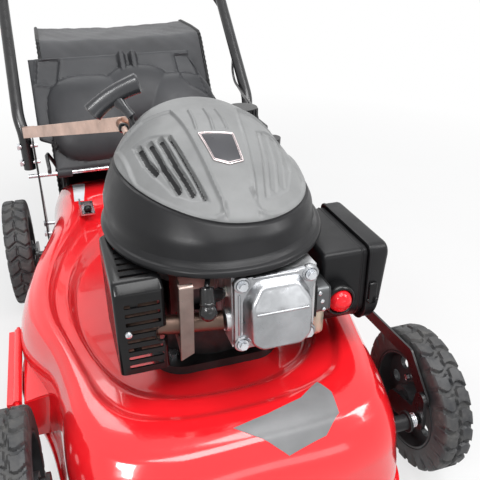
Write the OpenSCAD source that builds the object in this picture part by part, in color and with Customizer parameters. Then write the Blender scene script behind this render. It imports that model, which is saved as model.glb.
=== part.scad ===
// Push lawn mower with a petrol engine: pressed steel deck, vertical crankshaft engine with a
// starter, four wheels on two swinging axles with one height lever, folding handle and catcher.
// Millimetres. +Z is up, the front faces -Y, and the person behind it looks along -Y.
// Inside the modules the origin is on the ground under the blade axis. placed() moves the whole
// part along Y, so that its own origin is the middle of its footprint.

/* [Deck] */
// Height of the skirt's lower edge above the ground
skirt_z = 50; // [44:1:56]
// Sheet thickness of the deck
deck_wall = 2.5; // [2:0.5:3]
// Reach of the deck in front of the blade axis
deck_front = 264; // [262:1:272]
// Reach of the deck behind the blade axis, to the discharge mouth
deck_rear = 560; // [554:1:566]
// How far the deck's right side stays inside the wheels' outer faces
deck_inset_right = 47; // [44:1:49]
// How far the deck's left side, the side discharge side, stays inside the wheels' outer faces
deck_inset_left = 19; // [15:1:21]
// Outward roll of the skirt's lower edge
deck_lip = 5; // [3:1:6]
// Height of the recessed pan that carries the engine
pan_z = 178; // [174:1:184]
// Height of the raised ring at the front
crest_front_z = 192; // [190:1:196]
// Height of the raised ring at the rear
crest_rear_z = 216; // [210:1:220]

/* [Wheels] */
// Front wheel diameter
front_wheel_d = 200; // [196:2:206]
// Rear wheel diameter
rear_wheel_d = 210; // [206:2:216]
// Front tyre width
front_tyre_w = 44; // [40:1:46]
// Rear tyre width
rear_tyre_w = 46; // [42:1:47]
// Distance between the outer faces of left and right wheels
track = 574; // [570:1:580]
// Distance between front and rear wheel centres
wheelbase = 616; // [612:1:620]
// Distance of the front wheel centres in front of the blade axis
front_axle_y = 137; // [134:1:140]
// Tread blocks round one tyre
tread_blocks = 24; // [20:2:28]
// Depth of the grooves between tread blocks
tread_depth = 5; // [3:1:6]
// Stub axle diameter
stub_d = 14; // [12:1:16]
// Radial running clearance of turning parts
running_fit = 0.05; // [0.02:0.01:0.09]

/* [Height adjuster] */
// Distance along Y from the axle shaft to the stub axle
arm_run = 52; // [48:1:56]
// Height of the axle shaft above the stub axle
arm_rise = 14; // [12:1:18]
// Height of the link pin above the axle shaft
link_rise = 32; // [30:1:36]
// Diameter of the axle shafts
shaft_d = 12; // [10:1:14]
// Thickness of the axle arms
arm_t = 5; // [4:0.5:6]
// Thickness of the side link
link_t = 3; // [2.5:0.5:3.5]
// Height of the side link's flat bar
link_h = 18; // [15:1:22]
// Length of the height lever above its shaft
lever_l = 190; // [170:5:210]

/* [Engine] */
// Width of the shroud flange
shroud_w = 272; // [264:2:276]
// Offset of the shroud to the right of the crankshaft
shroud_x = 9; // [6:1:12]
// Reach of the shroud flange in front of the crankshaft
shroud_front = 162; // [158:1:166]
// Reach of the shroud flange behind the crankshaft
shroud_rear = 150; // [146:1:156]
// Height of the shroud flange's underside
shroud_z = 358; // [356:1:362]
// Top of the grey cover
cover_top_z = 498; // [490:1:504]
// Height of the seam between shroud and cover, at the front
seam_z = 400; // [396:1:404]
// Wall of the shroud and the cover
shroud_wall = 2.5; // [2:0.5:3]
// Crankshaft diameter
crank_d = 25; // [22:1:28]
// Valve cover width
valve_cover_w = 98; // [92:1:100]
// Valve cover height
valve_cover_h = 94; // [88:1:96]
// Middle of the cylinder to the right of the crankshaft
cylinder_x = 43; // [40:1:46]
// Height of the cylinder axis
cylinder_z = 306; // [303:1:309]
// Front of the cylinder head, in front of the crankshaft
head_front = 150; // [148:1:152]
// Travel of the primer bulb
primer_travel = 8; // [6:1:9]

/* [Blade] */
// Blade length
blade_l = 450; // [420:5:456]
// Blade width
blade_w = 54; // [48:1:60]
// Blade thickness
blade_t = 4; // [3:0.5:5]
// Height of the blade's underside above the ground
blade_z = 62; // [60:1:66]

/* [Handle] */
// Handle tube diameter
tube_d = 22; // [20:1:24]
// How far each lower handle tube's axis stays inside the wheels' outer faces
handle_inset = 66; // [64:1:68]
// Handle slope in degrees
handle_slope = 43; // [41:1:45]
// Length of the sloping part of the lower handle
lower_l = 320; // [300:5:340]
// Length of the upper handle from its bolts to the crossbar
upper_l = 590; // [560:5:620]
// Diameter of the handle bolts
bolt_d = 8; // [6:1:8]

/* [Catcher] */
// Catcher width
catcher_w = 344; // [330:2:352]
// Catcher wall
catcher_wall = 4; // [3:0.5:5]
// Catcher length behind the discharge mouth
catcher_l = 400; // [380:5:430]
// Length of the rear flap from its rod
flap_l = 240; // [230:2:246]

/* [Hidden] */
$fn = 48;

// Overall frame
rear_axle_y = wheelbase - front_axle_y;
front_r = front_wheel_d / 2;
rear_r = rear_wheel_d / 2;
wheel_out_x = track / 2;
deck_right = wheel_out_x - deck_inset_right;
deck_left = wheel_out_x - deck_inset_left;
handle_x = wheel_out_x - handle_inset;
front_in_x = wheel_out_x - front_tyre_w;
rear_in_x = wheel_out_x - rear_tyre_w;
cos_h = cos(handle_slope);
sin_h = sin(handle_slope);
knee_y = 505;
knee_z = 372;
fold_y = knee_y + lower_l * cos_h;
fold_z = knee_z + lower_l * sin_h;
handle_end_y = fold_y + upper_l * cos_h;
handle_end_z = fold_z + upper_l * sin_h;
y_shift = (deck_front + deck_lip - handle_end_y - tube_d / 2) / 2;

module placed() { translate([0, y_shift, 0]) children(); }

// ---- shared shapes ----

// Round bar from point a to point b
module bar(a, b, d) {
    v = b - a;
    l = norm(v);
    translate(a)
        rotate([0, acos(v[2] / l), atan2(v[1], v[0])])
            cylinder(d = d, h = l);
}

// Plate with rounded corners, standing on z = 0, centred in x and y
module round_plate(w, d, h, r) {
    linear_extrude(h) round_rect(w, d, r);
}

module round_rect(w, d, r) {
    square([w - 2 * r, d], center = true);
    square([w, d - 2 * r], center = true);
    for (x = [-1, 1], y = [-1, 1])
        translate([x * (w / 2 - r), y * (d / 2 - r)]) circle(r);
}

// Cylinder along X, centred on its point
module x_cyl(p, d, l) {
    translate(p) rotate([0, 90, 0]) cylinder(d = d, h = l, center = true);
}

// Cylinder along Y, from its point towards +Y
module y_cyl(p, d, l) {
    translate(p) rotate([-90, 0, 0]) cylinder(d = d, h = l);
}

// Flat profile in the Y-Z plane, extruded along X from x0 to x0 + w
module side_profile(x0, w) {
    translate([x0, 0, 0]) rotate([90, 0, 90]) linear_extrude(w) children();
}

// Hexagon bolt along Z: head on top of z = 0, shank below
module hex_bolt(shank_d, shank_l, head_h) {
    cylinder(d = shank_d * 1.7, h = head_h, $fn = 6);
    translate([0, 0, -shank_l]) cylinder(d = shank_d, h = shank_l);
}

function mix(a, b, t) = a + (b - a) * t;
function clamp01(t) = max(0, min(1, t));
function power_sign(v, e) = sign(v) * pow(abs(v), e);

// Point on a superellipse with half axes a and b
function oval(a, b, n, t) = [a * power_sign(cos(t), 2 / n), b * power_sign(sin(t), 2 / n)];

// Smooth closed curve through a few points
function blend4(a, b, c, d, t) = 0.5 * (2 * b + (c - a) * t + (2 * a - 5 * b + 4 * c - d) * t * t
    + (3 * b - a - 3 * c + d) * t * t * t);
function smooth_loop(p, steps) = [for (i = [0 : len(p) - 1], k = [0 : steps - 1])
    let (n = len(p)) blend4(p[(i + n - 1) % n], p[i], p[(i + 1) % n], p[(i + 2) % n], k / steps)];

// Faces of a closed grid: rows wrap round, columns wrap round too
function ring_faces(rows, cols) = [for (i = [0 : rows - 1], j = [0 : cols - 1], h = [0, 1])
    let (a = i * cols + j, b = ((i + 1) % rows) * cols + j,
         c = ((i + 1) % rows) * cols + (j + 1) % cols, d = i * cols + (j + 1) % cols)
    h == 0 ? [a, b, c] : [a, c, d]];

// Round tube or cord along a path, with flat ends. ref is never parallel to the path.
cord_sides = 8;
tube_sides = 16;
function unit(v) = v / norm(v);
function smooth_path(p, steps) = concat([for (i = [0 : len(p) - 2], k = [0 : steps - 1])
    blend4(p[max(i - 1, 0)], p[i], p[i + 1], p[min(i + 2, len(p) - 1)], k / steps)],
    [p[len(p) - 1]]);

// Straight runs with rounded corners of about radius r
bend_steps = 5;
function bent_path(p, r) = concat([p[0]],
    [for (i = [1 : len(p) - 2], k = [0 : bend_steps])
        let (a = p[i] + r * unit(p[i - 1] - p[i]), b = p[i] + r * unit(p[i + 1] - p[i]),
             t = k / bend_steps)
        mix(mix(a, p[i], t), mix(p[i], b, t), t)],
    [p[len(p) - 1]]);

module cord(path, d, ref, n_sides = cord_sides) {
    n = len(path);
    points = [for (i = [0 : n - 1])
        let (dir = unit(path[min(i + 1, n - 1)] - path[max(i - 1, 0)]),
             across = unit(cross(dir, ref)), up = cross(dir, across))
        for (k = [0 : n_sides - 1])
            let (a = 360 / n_sides * (k + 0.5))
            path[i] + d / 2 * (across * cos(a) + up * sin(a))];
    sides = [for (i = [0 : n - 2], k = [0 : n_sides - 1], h = [0, 1])
        let (a = i * n_sides + k, b = i * n_sides + (k + 1) % n_sides,
             c = a + n_sides, e = b + n_sides)
        h == 0 ? [a, c, e] : [a, e, b]];
    start = [for (k = [1 : n_sides - 2]) [0, k, k + 1]];
    end = [for (k = [1 : n_sides - 2]) let (z = (n - 1) * n_sides) [z, z + k + 1, z + k]];
    polyhedron(points = points, faces = concat(sides, start, end), convexity = 8);
}

// ---- deck ----

deck_plan_steps = 3;
front_edge = -deck_front;
deck_plan = [[0, front_edge], [110, front_edge + 2], [deck_right - 62, front_edge + 28],
    [deck_right - 35, front_edge + 92], [deck_right - 20, front_edge + 170],
    [deck_right - 3, front_edge + 270], [deck_right, front_edge + 390],
    [deck_right - 8, front_edge + 520], [deck_right - 26, front_edge + 640],
    [deck_right - 42, front_edge + 740], [deck_right - 48, front_edge + 850],
    [deck_right - 80, front_edge + 930], [0, front_edge + 940],
    [100 - deck_left, front_edge + 930], [74 - deck_left, front_edge + 850],
    [66 - deck_left, front_edge + 740], [44 - deck_left, front_edge + 630],
    [12 - deck_left, front_edge + 500], [-deck_left, front_edge + 370],
    [35 - deck_left, front_edge + 250], [47 - deck_left, front_edge + 175],
    [56 - deck_left, front_edge + 90], [88 - deck_left, front_edge + 28],
    [-110, front_edge + 2]];
deck_edge = smooth_loop(deck_plan, deck_plan_steps);
pan_mid = [-7, 96];
pan_half = [158, 212];
pan_hole_r = 48;
shoulder_z = 118;
skirt_lean = 8;

function pan_dir(o) = atan2((o[1] - pan_mid[1]) / pan_half[1], (o[0] - pan_mid[0]) / pan_half[0]);
function pan_rim(o) = pan_mid + oval(pan_half[0], pan_half[1], 2.4, pan_dir(o));
function hole_rim(o) = pan_hole_r * [cos(pan_dir(o)), sin(pan_dir(o))];
function crest_z(y) = mix(crest_front_z, crest_rear_z, clamp01((y + 190) / 600));

// Outer section of the deck: distance inwards from the edge, and height
function deck_section(d, top) = concat(
    [[-deck_lip, skirt_z], [-deck_lip, skirt_z + 6], [1, skirt_z + 10], [4, skirt_z + 48]],
    [for (f = [0 : 18 : 90])
        [skirt_lean + (d / 2 - skirt_lean) * (1 - cos(f)),
         shoulder_z + (top - shoulder_z) * sin(f)]],
    [for (k = [1 : 5])
        [d / 2 + d / 10 * k, top - (top - pan_z) * (1 - cos(36 * k)) / 2]]);

// The same section moved inwards by the sheet thickness
function deck_inner(s) = concat(
    [[1 + deck_wall, skirt_z], [1 + deck_wall, skirt_z + 10]],
    [for (k = [3 : len(s) - 1])
        let (a = s[k - 1], b = s[min(k + 1, len(s) - 1)], t = (b - a) / norm(b - a))
        [s[k][0] + deck_wall * t[1], s[k][1] - deck_wall * t[0]]]);

function deck_column(o) =
    let (p = pan_rim(o), d = norm(p - o), e = (p - o) / d, top = crest_z(mix(o[1], p[1], 0.5)),
         s = deck_section(d, top), q = deck_inner(s), h = hole_rim(o))
    concat(
        [for (v = s) [o[0] + e[0] * v[0], o[1] + e[1] * v[0], v[1]]],
        [[h[0], h[1], pan_z], [h[0], h[1], pan_z - deck_wall]],
        [for (k = [len(q) - 1 : -1 : 0])
            [o[0] + e[0] * q[k][0], o[1] + e[1] * q[k][0], q[k][1]]]);

side_port_y = [-6, 150];
side_port_z = [skirt_z + 14, 118];
bracket_bolts_y = [452, 500];
bracket_bolt_z = 150;

module deck_shell() {
    columns = [for (o = deck_edge) deck_column(o)];
    rows = len(columns);
    cols = len(columns[0]);
    color("red") placed() difference() {
        polyhedron(points = [for (c = columns, p = c) p], faces = ring_faces(rows, cols),
            convexity = 6);
        // open rear end: the discharge mouth
        translate([-400, deck_rear, -1]) cube([800, 400, 400]);
        // side discharge port
        translate([-deck_left - 20, side_port_y[0], side_port_z[0]])
            cube([80, side_port_y[1] - side_port_y[0], side_port_z[1] - side_port_z[0]]);
        // axle bush holes
        for (p = [front_shaft, rear_shaft]) x_cyl([0, p[0], p[1]], bush_d, 600);
        // handle bracket bolts
        for (y = bracket_bolts_y) x_cyl([0, y, bracket_bolt_z], bolt_d, 600);
        // engine bolts
        for (p = concat(engine_bolt_places, [cable_bolt]))
            translate([p[0], p[1], 0]) cylinder(d = bolt_d, h = 400);
    }
}

// ---- axles, wheels and height adjuster ----

// Shaft centres as [y, z]
front_shaft = [-front_axle_y - arm_run, front_r + arm_rise];
rear_shaft = [rear_axle_y - arm_run, rear_r + arm_rise];
bush_d = shaft_d + 8;
side_gap = 2.5;
arm_out_x = min(front_in_x, rear_in_x) - link_t - side_gap - 0.5;
arm_in_x = arm_out_x - arm_t;
link_in_x = arm_out_x + 0.5;
pin_d = 8;
stub_end_x = wheel_out_x - 11;

// Flat arm outline between two centres
module arm(a, b, da, db) {
    hull() {
        translate(a) circle(d = da, $fn = 32);
        translate(b) circle(d = db, $fn = 32);
    }
}

// Axle shaft with two arms and two stub axles. s is the shaft centre and w the wheel centre.
// The right arm carries the link eye.
module swing_axle(s, w, in_x) {
    eye = s + [0, link_rise];
    x_cyl([0, s[0], s[1]], shaft_d, 2 * arm_out_x);
    for (side = [-1, 1]) {
        side_profile(min(side * arm_in_x, side * arm_out_x), arm_t) {
            arm(s, w, 28, 32);
            if (side > 0) difference() {
                arm(s, eye, 28, 20);
                translate(eye) circle(d = pin_d + 2 * running_fit);
            }
        }
        x_cyl([side * (arm_in_x + stub_end_x) / 2, w[0], w[1]], stub_d, stub_end_x - arm_in_x);
        x_cyl([side * (arm_out_x + in_x - 0.3) / 2, w[0], w[1]], stub_d + 10,
            in_x - 0.3 - arm_out_x);
    }
}

module front_axle() {
    color("dimgray") placed()
        swing_axle(front_shaft, [-front_axle_y, front_r], front_in_x);
}

module rear_axle() {
    color("dimgray") placed()
        swing_axle(rear_shaft, [rear_axle_y, rear_r], rear_in_x);
}

// Bushes in the deck skirt at both shafts
bush_out_x = arm_in_x - 16;
bush_in_x = bush_out_x - 28;
module axle_bushes() {
    color("black") placed()
        for (side = [-1, 1], p = [front_shaft, rear_shaft])
            difference() {
                union() {
                    x_cyl([side * (bush_out_x + bush_in_x) / 2, p[0], p[1]], bush_d,
                        bush_out_x - bush_in_x);
                    x_cyl([side * (bush_out_x + 2), p[0], p[1]], bush_d + 8, 4);
                }
                x_cyl([side * bush_out_x, p[0], p[1]], shaft_d + 2 * running_fit, 80);
            }
}

// Coil spring round the front shaft, by the right arm
spring_wire = 3;
module axle_spring() {
    ring_r = shaft_d / 2 + 0.4 + spring_wire / 2;
    x_from = bush_out_x + 5;
    turns = floor((arm_in_x - x_from - spring_wire) / (spring_wire * 0.94));
    color("silver") placed() {
        for (k = [0 : turns])
            translate([x_from + spring_wire * (0.5 + 0.94 * k), front_shaft[0], front_shaft[1]])
                rotate([0, 90, 0]) rotate_extrude() translate([ring_r, 0])
                    circle(d = spring_wire, $fn = 16);
    }
}

// Side link between the rear and front arm eyes, bent over the front wheel
link_bend = [-front_axle_y - 9, front_r + 87];
module side_link() {
    front_eye = front_shaft + [0, link_rise];
    rear_eye = rear_shaft + [0, link_rise];
    color("#1c1c1e") placed() {
        side_profile(link_in_x, link_t) {
            arm(front_eye, link_bend, 20, link_h);
            arm(link_bend, rear_eye, link_h, 20);
        }
        for (p = [front_eye, rear_eye])
            x_cyl([(arm_in_x + link_in_x + link_t + 1) / 2, p[0], p[1]], pin_d,
                link_in_x + link_t + 1 - arm_in_x);
    }
}

// Height lever, fixed on the right end of the rear shaft, and the sector it locks in
lever_x = arm_in_x - 13.5;
lever_t = 4;
lever_lean = 28;
lever_top = rear_shaft + lever_l * [-sin(lever_lean), cos(lever_lean)];
module height_lever() {
    color("#202022") placed() difference() {
        union() {
            side_profile(lever_x + 4, lever_t) arm(rear_shaft, lever_top, 30, 18);
            bar([lever_x + 6, lever_top[0], lever_top[1] - 6],
                [lever_x + 6, lever_top[0] - 8, lever_top[1] + 52], 24);
        }
        x_cyl([lever_x, rear_shaft[0], rear_shaft[1]], shaft_d, 60);
    }
}

sector_r = 128;
sector_teeth = 6;
module height_sector() {
    rest = atan2(lever_top[1] - rear_shaft[1], lever_top[0] - rear_shaft[0]);
    color("silver") placed() side_profile(lever_x, 3) difference() {
        union() {
            intersection() {
                translate(rear_shaft) circle(sector_r);
                translate(rear_shaft) polygon([for (a = [-34, 0, 34])
                    2 * sector_r * [cos(rest + a), sin(rest + a)], [0, 0]]);
            }
            translate(rear_shaft) circle(24);
        }
        translate(rear_shaft) circle(d = bush_d + 8.6);
        for (k = [0 : sector_teeth])
            translate(rear_shaft) rotate(rest - 24 + 48 / sector_teeth * k)
                translate([sector_r, 0]) circle(d = 9);
    }
}

// Tyre outline with flat tread blocks. One block lies flat on the ground.
groove_w = 5;
bead_depth = 30;
function tread_outline(r) = [for (k = [0 : tread_blocks - 1])
    let (a = -90 + 360 / tread_blocks * k, u = [cos(a), sin(a)], t = [-sin(a), cos(a)],
         h = r * tan(180 / tread_blocks) - groove_w / 2, low = 1 - tread_depth / r)
    each [(r * u - h * t) * low, r * u - h * t, r * u + h * t, (r * u + h * t) * low]];

module tyre(side, y, r, w) {
    in_x = wheel_out_x - w;
    color("#26282a") placed() side_profile(side > 0 ? in_x : -wheel_out_x, w)
        translate([y, r]) difference() {
            polygon(tread_outline(r));
            circle(r - bead_depth);
        }
}

// Rim: hub, web with windows and seat for the tyre, closed by a cap outside
web_t = 6;
hub_r = 20;
window_count = 8;
module rim(side, y, r, w) {
    seat_r = r - bead_depth;
    bore_r = stub_d / 2 + running_fit;
    in_x = wheel_out_x - w;
    mid = w / 2;
    color("#2e3033") placed() translate([side * in_x, y, r]) rotate([0, side * 90, 0])
        difference() {
            rotate_extrude() polygon([[bore_r, 0], [hub_r, 0], [hub_r, mid - web_t / 2],
                [seat_r - 5, mid - web_t / 2], [seat_r - 5, 2], [seat_r, 2], [seat_r, w - 2],
                [seat_r - 5, w - 2], [seat_r - 5, mid + web_t / 2], [hub_r + 8, mid + web_t / 2],
                [hub_r + 2, w - 5], [0, w - 3], [0, w - 9], [bore_r, w - 9]]);
            for (k = [0 : window_count - 1]) rotate(360 / window_count * k)
                translate([(hub_r + seat_r) / 2 + 2, 0, 0]) cylinder(d = 18, h = w);
        }
}

module front_left_tyre() { tyre(-1, -front_axle_y, front_r, front_tyre_w); }
module front_right_tyre() { tyre(1, -front_axle_y, front_r, front_tyre_w); }
module rear_left_tyre() { tyre(-1, rear_axle_y, rear_r, rear_tyre_w); }
module rear_right_tyre() { tyre(1, rear_axle_y, rear_r, rear_tyre_w); }
module front_left_rim() { rim(-1, -front_axle_y, front_r, front_tyre_w); }
module front_right_rim() { rim(1, -front_axle_y, front_r, front_tyre_w); }
module rear_left_rim() { rim(-1, rear_axle_y, rear_r, rear_tyre_w); }
module rear_right_rim() { rim(1, rear_axle_y, rear_r, rear_tyre_w); }

// ---- engine ----

engine_bolt_places = [[-60, -56], [60, -56], [0, 97]];
base_t = 12;
case_r = 78;
case_top = 296;
case_mid_y = 10;
block_w = 96;
head_w = 100;
head_h = 92;
post_ring_r = 99;
post_angles = [20, 100, 165];
post_d = 10;
disc_z = 412;
filler_foot = [-12, 80, 215];
filler_top = [-30, 186, 330];
filler_d = 24;

module crankcase() {
    color("#8d9093") placed() difference() {
        union() {
            translate([0, case_mid_y + 2, pan_z]) round_plate(170, 190, base_t, 40);
            translate([0, 0, pan_z - 26]) cylinder(d = 2 * pan_hole_r - 16, h = 30);
            translate([0, case_mid_y, pan_z]) cylinder(r = case_r, h = case_top - pan_z);
            translate([cylinder_x - block_w / 2, -50, pan_z + 20])
                cube([block_w, 60, cylinder_z + 44 - pan_z - 20]);
            for (a = post_angles) rotate(a) {
                translate([40, -8, case_top - 10]) cube([post_ring_r - 40, 16, 10]);
                translate([post_ring_r, 0, case_top - 10]) cylinder(d = post_d + 8, h = 10);
            }
            bar(filler_foot, filler_top, filler_d);
        }
        translate([0, 0, 100]) cylinder(r = crank_d / 2 + running_fit, h = 300);
        // seat of the cylinder block
        translate([-case_r, -2 * case_r, cylinder_z - head_h / 2 - 0.3])
            cube([2 * case_r, 2 * case_r - 50, head_h]);
        for (p = engine_bolt_places) translate([p[0], p[1], 0]) cylinder(d = bolt_d, h = 400);
        bar(mix(filler_foot, filler_top, 0.3), mix(filler_foot, filler_top, 1.1),
            filler_d - 5);
    }
}

fin_pitch = 8;
fin_t = 3;
head_t = 28;
port_y = -136;
exhaust_z = 290;
plug_seat = [-9, -128, 322];
plug_tip = [-26, -148, 332];
plug_hole = plug_seat + [30, 8, -4];
cover_bolt_x = valve_cover_w / 2 - 9;
cover_bolt_z = valve_cover_h / 2 - 8;

module engine_barrel() {
    head_x = cylinder_x - head_w / 2;
    color("#9a9da0") placed() difference() {
        union() {
            y_cyl([cylinder_x, -head_front + head_t, cylinder_z], 76, head_front - head_t - 50);
            for (y = [-58 : -fin_pitch : -head_front + head_t + 4])
                translate([head_x, y - fin_t, cylinder_z - head_h / 2])
                    cube([head_w, fin_t, head_h]);
            translate([head_x, -head_front, cylinder_z - head_h / 2])
                cube([head_w, head_t, head_h]);
            x_cyl([head_x - 1, port_y, exhaust_z], 27, 8);
        }
        bar(plug_seat, plug_hole, 12);
        for (x = [-1, 1], z = [-1, 1])
            y_cyl([cylinder_x + x * cover_bolt_x, -head_front - 1, cylinder_z + z * cover_bolt_z],
                6, 18);
    }
}

flange_t = 8;
cover_depth = 19;
module octagon(w, h, c) {
    polygon([[-w / 2 + c, -h / 2], [w / 2 - c, -h / 2], [w / 2, -h / 2 + c], [w / 2, h / 2 - c],
        [w / 2 - c, h / 2], [-w / 2 + c, h / 2], [-w / 2, h / 2 - c], [-w / 2, -h / 2 + c]]);
}

module valve_cover() {
    body_w = valve_cover_w - 14;
    body_h = valve_cover_h - 10;
    color("#b5b9bd") placed() translate([cylinder_x, -head_front, cylinder_z])
        rotate([90, 0, 0]) difference() {
            union() {
                round_plate(valve_cover_w, valve_cover_h, flange_t, 9);
                hull() {
                    linear_extrude(flange_t) octagon(body_w, body_h, 18);
                    linear_extrude(flange_t + cover_depth) octagon(body_w - 12, body_h - 12, 14);
                }
                translate([0, -6, 0]) linear_extrude(flange_t + cover_depth + 2)
                    octagon(body_w - 26, body_h - 34, 6);
            }
            for (x = [-1, 1], z = [-1, 1]) translate([x * cover_bolt_x, z * cover_bolt_z, -1]) {
                cylinder(d = 6, h = 40);
                translate([0, 0, flange_t + 1]) cylinder(d = 15, h = 40);
            }
        }
}

// All flange bolts: valve cover, engine mounting, handle brackets and cable bracket
handle_bolts = [[482, 290], [483, 322]];
bracket_in_x = handle_x - tube_d / 2 - 4;
cable_bolt = [-130, 400];
module flange_bolts() {
    color("#c9ccd0") placed() {
        for (x = [-1, 1], z = [-1, 1])
            translate([cylinder_x + x * cover_bolt_x, -head_front - flange_t,
                cylinder_z + z * cover_bolt_z]) rotate([90, 0, 0]) {
                    hex_bolt(6, 22, 6);
                    cylinder(d = 13, h = 1.5);
                }
        for (p = engine_bolt_places) translate([p[0], p[1], pan_z + base_t])
            hex_bolt(bolt_d, base_t + 10, 6);
        for (side = [-1, 1], y = bracket_bolts_y)
            translate([side * (bracket_in_x + 3), y, bracket_bolt_z]) rotate([0, side * 90, 0])
                hex_bolt(bolt_d, 24, 5);
        for (side = [-1, 1], p = handle_bolts)
            translate([side * (handle_x + tube_d / 2), p[0], p[1]]) rotate([0, side * 90, 0])
                hex_bolt(bolt_d, tube_d + 10, 5);
        translate([cable_bolt[0], cable_bolt[1], crest_rear_z + 3]) hex_bolt(bolt_d, 26, 5);
    }
}

module spark_plug() {
    color("#e8e4da") placed() {
        bar(plug_seat, mix(plug_seat, plug_hole, 0.6), 12);
        bar(plug_seat, plug_tip, 9);
    }
}

boot_d = 20;
lead_d = 6;
boot_top = [-36, -156, 350];
boot_tip = [-38, -166, 326];
lead_route = [[-36, -156, 342], [-33, -147, 350], [-27, -136, 358], [-14, -126, 368],
    [4, -119, 374], [20, -109, 376]];
module spark_boot() {
    stem_end = mix(plug_seat, plug_tip, 1.65);
    color("#141416") placed() difference() {
        union() {
            bar(mix(plug_seat, plug_tip, 0.45), stem_end, 15);
            bar(boot_tip, boot_top, boot_d);
            translate(boot_tip) sphere(d = boot_d - 1);
            cord(smooth_path(lead_route, 3), lead_d, [0, 0, 1]);
        }
        bar(plug_seat, plug_tip, 9);
    }
}

module ignition_coil() {
    color("#25262a") placed() {
        translate([22, -117, 366]) cube([28, 22, 24]);
        for (x = [24, 42]) translate([x, -110, cylinder_z + head_h / 2])
            cube([6, 8, 366 - cylinder_z - head_h / 2]);
    }
}

guard_box = [[-134, -138, 240], [-78, -8, 355]];
muffler_box = [[-127, -130, 252], [-86, -22, 346]];
module muffler() {
    size = muffler_box[1] - muffler_box[0];
    pipe_end = cylinder_x - head_w / 2 - 7;
    color("#5a554f") placed() {
        translate([muffler_box[0][0], mix(muffler_box[0][1], muffler_box[1][1], 0.5),
            mix(muffler_box[0][2], muffler_box[1][2], 0.5)])
            rotate([0, 90, 0]) round_plate(size[2], size[1], size[0], 14);
        bar([muffler_box[1][0] - 1, -124, exhaust_z], [pipe_end, port_y, exhaust_z], 22);
    }
}

guard_slots = 8;
top_slots = 4;
module muffler_guard() {
    low = guard_box[0];
    size = guard_box[1] - guard_box[0];
    slot_pitch = (size[2] - 30) / guard_slots;
    color("#0f0f11") placed() difference() {
        translate(low) difference() {
            cube(size);
            translate([deck_wall, deck_wall, -1])
                cube([size[0] - 2 * deck_wall, size[1], size[2] - deck_wall + 1]);
            // chamfer along the upper front edge
            translate([-1, 0, size[2] - 9]) rotate([45, 0, 0])
                translate([0, -20, 0]) cube([size[0] + 2, 20, 40]);
        }
        for (k = [0 : guard_slots - 1])
            translate([low[0] + 7, low[1] - 1, low[2] + 8 + slot_pitch * k])
                cube([size[0] - 14, 8, slot_pitch * 0.45]);
        for (k = [0 : guard_slots - 1])
            translate([low[0] - 1, low[1] + 14, low[2] + 8 + slot_pitch * k])
                cube([8, size[1] - 40, slot_pitch * 0.45]);
        for (k = [0 : top_slots - 1])
            translate([low[0] + 10, low[1] + 18 + 12 * k, low[2] + size[2] - 8])
                cube([size[0] - 20, 5, 20]);
        y_cyl([low[0] + size[0] - 4, low[1] - 1, low[2] + size[2] * 0.42], 18, 8);
        x_cyl([low[0] + size[0], -125.3, exhaust_z], 25, 8);
    }
    // stand-offs that hold the guard on the muffler
    color("#0f0f11") placed() for (z = [268, 330])
        y_cyl([(guard_box[0][0] + guard_box[1][0]) / 2 - 6, guard_box[0][1] + deck_wall, z], 9,
            muffler_box[0][1] - guard_box[0][1] - deck_wall);
}

module heat_plate() {
    color("#8b7a70") placed() difference() {
        translate([-62, -156, 262]) cube([1.5, 80, 88]);
        x_cyl([-62, mix(-124, port_y, 0.42), exhaust_z], 30, 20);
    }
    color("#8b7a70") placed() translate([-62, -78, 300])
        cube([cylinder_x - head_w / 2 + 62, 1.5, 20]);
}

air_box = [[119, -115, 232], [178, 20, 338]];
air_wall = 3;
primer_at = [137, -128, 281];
primer_d = 30;
module air_outline(grow) {
    l = air_box[0] - [0, grow, grow];
    h = air_box[1] + [0, grow, grow];
    polygon([[l[1], h[2]], [l[1], l[2] + 20], [l[1] + 16, l[2]], [h[1] - 14, l[2]],
        [h[1], l[2] + 14], [h[1], h[2]]]);
}

module air_filter_base() {
    color("#17171a") placed() difference() {
        union() {
            side_profile(air_box[0][0], air_box[1][0] - air_box[0][0]) air_outline(0);
            y_cyl(primer_at, 42, 14);
        }
        side_profile(air_box[0][0] + air_wall, 100) air_outline(-air_wall);
        y_cyl(primer_at - [0, 1, 0], primer_d + 0.4, 14 - air_wall + 1);
        x_cyl([air_box[0][0], -104, 296], 16, 20);
    }
}

module primer_bulb() {
    color("#e8101c") placed() {
        y_cyl(primer_at, primer_d, 2);
        intersection() {
            translate(primer_at) sphere(d = primer_d);
            translate(primer_at - [20, 20, 20]) cube([40, 20.01, 40]);
        }
    }
}

module filter_element() {
    l = air_box[0];
    h = air_box[1];
    color("#d9c9a0") placed()
        translate([l[0] + air_wall + 0.3, l[1] + air_wall + 14, l[2] + air_wall + 15])
            cube([h[0] - l[0] - air_wall - 6, h[1] - l[1] - 2 * air_wall - 18,
                h[2] - l[2] - 2 * air_wall - 22]);
}

cover_cap_x = 207;
module air_filter_cover() {
    grow = 5;
    color("#19191c") placed() difference() {
        side_profile(air_box[1][0] + 0.3, cover_cap_x - air_box[1][0] - 0.3) air_outline(grow);
        side_profile(air_box[1][0], cover_cap_x - air_box[1][0] - air_wall)
            air_outline(-air_wall);
    }
}

module carburettor() {
    head_side = cylinder_x + head_w / 2;
    color("#a8a494") placed() difference() {
        union() {
            translate([head_side, -148, 276]) cube([4, 26, 46]);
            translate([head_side + 4, -150, 278]) cube([18, 46, 38]);
            translate([head_side + 13, -128, 240]) cylinder(d = 20, h = 40);
            translate([head_side + 4, -113.6, 284]) cube([air_box[0][0] - head_side - 4, 16, 26]);
        }
        x_cyl([air_box[0][0], -104, 296], 12, 12);
    }
}

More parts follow.
